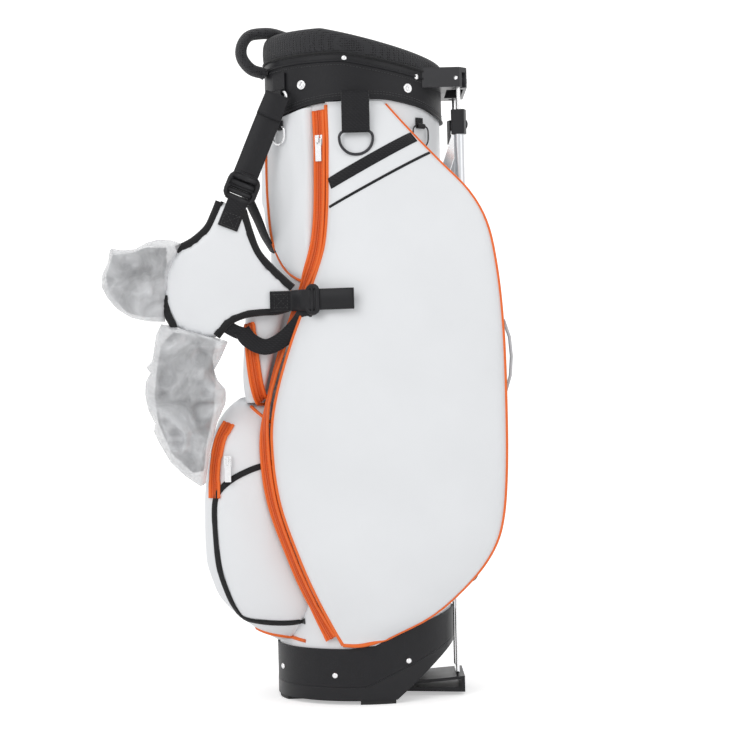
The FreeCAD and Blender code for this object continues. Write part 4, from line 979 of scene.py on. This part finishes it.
# ---------------------------------------------------------------- pads and their packing
PAD_LEFT = [(-246, 596), (-272, 597), (-292, 590), (-316, 588), (-325, 560), (-322, 540),
            (-300, 514), (-280, 507), (-250, 506), (-247, 533), (-246, 565)]
PAD_LOW = [(-240, 486), (-256, 470), (-262, 440), (-266, 405), (-262, 370), (-246, 330),
           (-218, 303), (-204, 306), (-200, 340), (-190, 380), (-186, 420), (-190, 450),
           (-184, 474), (-212, 482)]
COVER_LEFT = [(-232, 588), (-224, 600), (-237, 605), (-256, 607), (-272, 603), (-286, 595),
              (-305, 594), (-319, 597), (-322, 579), (-330, 563), (-331, 547), (-324, 533),
              (-312, 518), (-293, 506), (-272, 501), (-250, 500), (-249, 516), (-247, 534),
              (-243, 561)]
COVER_LOW = [(-255, 497), (-262, 483), (-265, 465), (-268, 449), (-276, 441), (-270, 434),
             (-277, 423), (-278, 404), (-274, 385), (-266, 369), (-268, 357), (-260, 341),
             (-247, 318), (-229, 300), (-209, 286), (-202, 288), (-200, 303), (-194, 336),
             (-186, 367), (-174, 393), (-173, 410), (-184, 423), (-188, 436), (-179, 451),
             (-169, 473), (-186, 478), (-214, 487), (-237, 494)]
for name, outline, node, middle, seed in (
    ("left", PAD_LEFT, "shoulder_pad_left", YOKE_MIDDLE, 2.0),
    ("lower", PAD_LOW, "shoulder_pad_lower", YOKE_MIDDLE, 5.0),
):
    pad = pillow(f"pad_{name}_shell", outline, middle, 5.5, 12, black_mesh, 8)
    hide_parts(node)
pillow("packing_left", COVER_LEFT, YOKE_MIDDLE - 1, 14, 16, clear_film, 3.4, 11, 1.3)
pillow("packing_lower", COVER_LOW, YOKE_MIDDLE - 1, 15, 16, clear_film, 3.4, 12, 6.1)


# ---------------------------------------------------------------- handles and tabs
HANDLE_TURN = math.radians(196)


def handle_point(reach, z):
    """A point in the upright plane of the lift handle."""
    edge = Vector((BAND_X * math.cos(HANDLE_TURN), BAND_Y * math.sin(HANDLE_TURN), z))
    return edge + Vector((math.cos(HANDLE_TURN), math.sin(HANDLE_TURN), 0)) * reach


def lift_handle():
    """A flat mesh handle that leaves the top of the rim, turns over and comes back to it."""
    box = node_box("lift_handle")
    top, low, far_reach = box[1][2], box[0][2], -box[0][0] - BAND_X + 4
    path = [handle_point(-26, top - 9), handle_point(-8, top - 4), handle_point(8, top - 4),
            handle_point(far_reach * 0.72, top - 8), handle_point(far_reach, top - 22),
            handle_point(far_reach * 0.98, top - 38), handle_point(far_reach * 0.62, top - 52),
            handle_point(6, (low + top) / 2 - 24), handle_point(2, low + 6)]
    line = even(smooth_curve(path, 10), 4)
    outs = []
    hub = handle_point(4, top - 30)
    for i, p in enumerate(line):
        outs.append((p - hub).normalized())
    section = [(a * 1.7, b) for a, b in round_section(7.6, 16)]
    obj = swept("lift_handle_grip", line, section, black_mesh, outs, soften=1)
    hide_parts("lift_handle")


lift_handle()


def towel_strap():
    """The webbing that hangs from under the cuff and holds the ring."""
    box = node_box("towel_ring")
    centre_x = (box[0][0] + box[1][0]) / 2
    hinge = box[1][2] - 1
    outer = (box[0][1] + box[1][1]) / 2
    line = [(centre_x, outer + 1.5, 790), (centre_x, outer - 0.5, 770),
            (centre_x, outer - 1.5, hinge + 8), (centre_x, outer - 3.2, hinge + 1),
            (centre_x, outer - 1.0, hinge - 3.4), (centre_x, outer + 3, hinge),
            (centre_x, outer + 3, hinge + 12)]
    obj = laid_strap("towel_strap", line, 36, 1.8, black_webbing)
    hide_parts("towel_tab")


towel_strap()


# ---------------------------------------------------------------- stage, light and camera
def seen_directly(tree):
    """One for the rays that see the studio itself or its reflection, nought for its light."""
    path = tree.nodes.new("ShaderNodeLightPath")
    direct = maths(tree, "MAXIMUM", path.outputs["Is Camera Ray"], path.outputs["Is Glossy Ray"])
    return maths(tree, "MAXIMUM", direct, path.outputs["Is Transmission Ray"])


def studio():
    """A pale floor that curves up into a backdrop, soft lights and the camera."""
    wide, front, back, bend, tall = 9.0, -4.5, 1.6, 1.4, 6.0
    profile = [(front, 0.0), (back, 0.0)]
    profile += [(back + bend * math.sin(a), bend * (1 - math.cos(a)))
                for a in (math.pi / 2 * k / 14 for k in range(1, 15))]
    profile.append((back + bend, tall))
    points = [(x, y, z) for y, z in profile for x in (-wide, wide)]
    mesh = bpy.data.meshes.new("studio_floor")
    mesh.from_pydata(points, [], grid_faces(len(profile), 2))
    mesh.polygons.foreach_set("use_smooth", [True] * len(mesh.polygons))
    material, tree, shader = nodes_of("studio_paper")
    cloud = texture(tree, "Noise", 2, Detail=2)
    shade(tree, shader, (0.93, 0.93, 0.93), 0.006, cloud, 0.9, 0.02)
    shader.inputs["Emission Color"].default_value = (1, 1, 1, 1)
    lift = ramp(tree, seen_directly(tree), 0.0, 1.0, 0.0, 0.42)
    tree.links.new(lift, shader.inputs["Emission Strength"])
    mesh.materials.append(material)
    floor = bpy.data.objects.new("studio_floor", mesh)
    bpy.context.scene.collection.objects.link(floor)

    world = bpy.data.worlds.new("studio_world")
    world.use_nodes = True
    background = world.node_tree.nodes["Background"]
    background.inputs["Color"].default_value = (1, 1, 1, 1)
    strength = ramp(world.node_tree, seen_directly(world.node_tree), 0.0, 1.0, 0.66, 1.0)
    world.node_tree.links.new(strength, background.inputs["Strength"])
    bpy.context.scene.world = world

    for name, place, aim, size, power in (
        ("key", (-2.2, -2.8, 2.6), (0, 0, 0.5), 2.2, 35),
        ("fill", (2.8, -2.4, 1.4), (0, 0, 0.4), 2.4, 15),
        ("top", (0.2, 0.2, 3.2), (0, 0, 0.4), 2.0, 13),
    ):
        light = bpy.data.lights.new(name, "AREA")
        light.size, light.energy = size, power
        obj = bpy.data.objects.new(name, light)
        obj.location = place
        obj.rotation_euler = (Vector(aim) - Vector(place)).to_track_quat("-Z", "Y").to_euler()
        bpy.context.scene.collection.objects.link(obj)

    data = bpy.data.cameras.new("camera")
    data.lens, data.sensor_width = 95.5, 36
    data.dof.use_dof = False
    camera = bpy.data.objects.new("camera", data)
    upright = Matrix.Rotation(math.pi / 2, 4, "X")
    lean = Matrix.Rotation(math.radians(-1.354), 4, "Z")
    camera.matrix_world = Matrix.Translation((0.0077, -2.6, 0.438)) @ upright @ lean
    bpy.context.scene.collection.objects.link(camera)
    bpy.context.scene.camera = camera
    bpy.context.scene.view_settings.view_transform = "Standard"


studio()
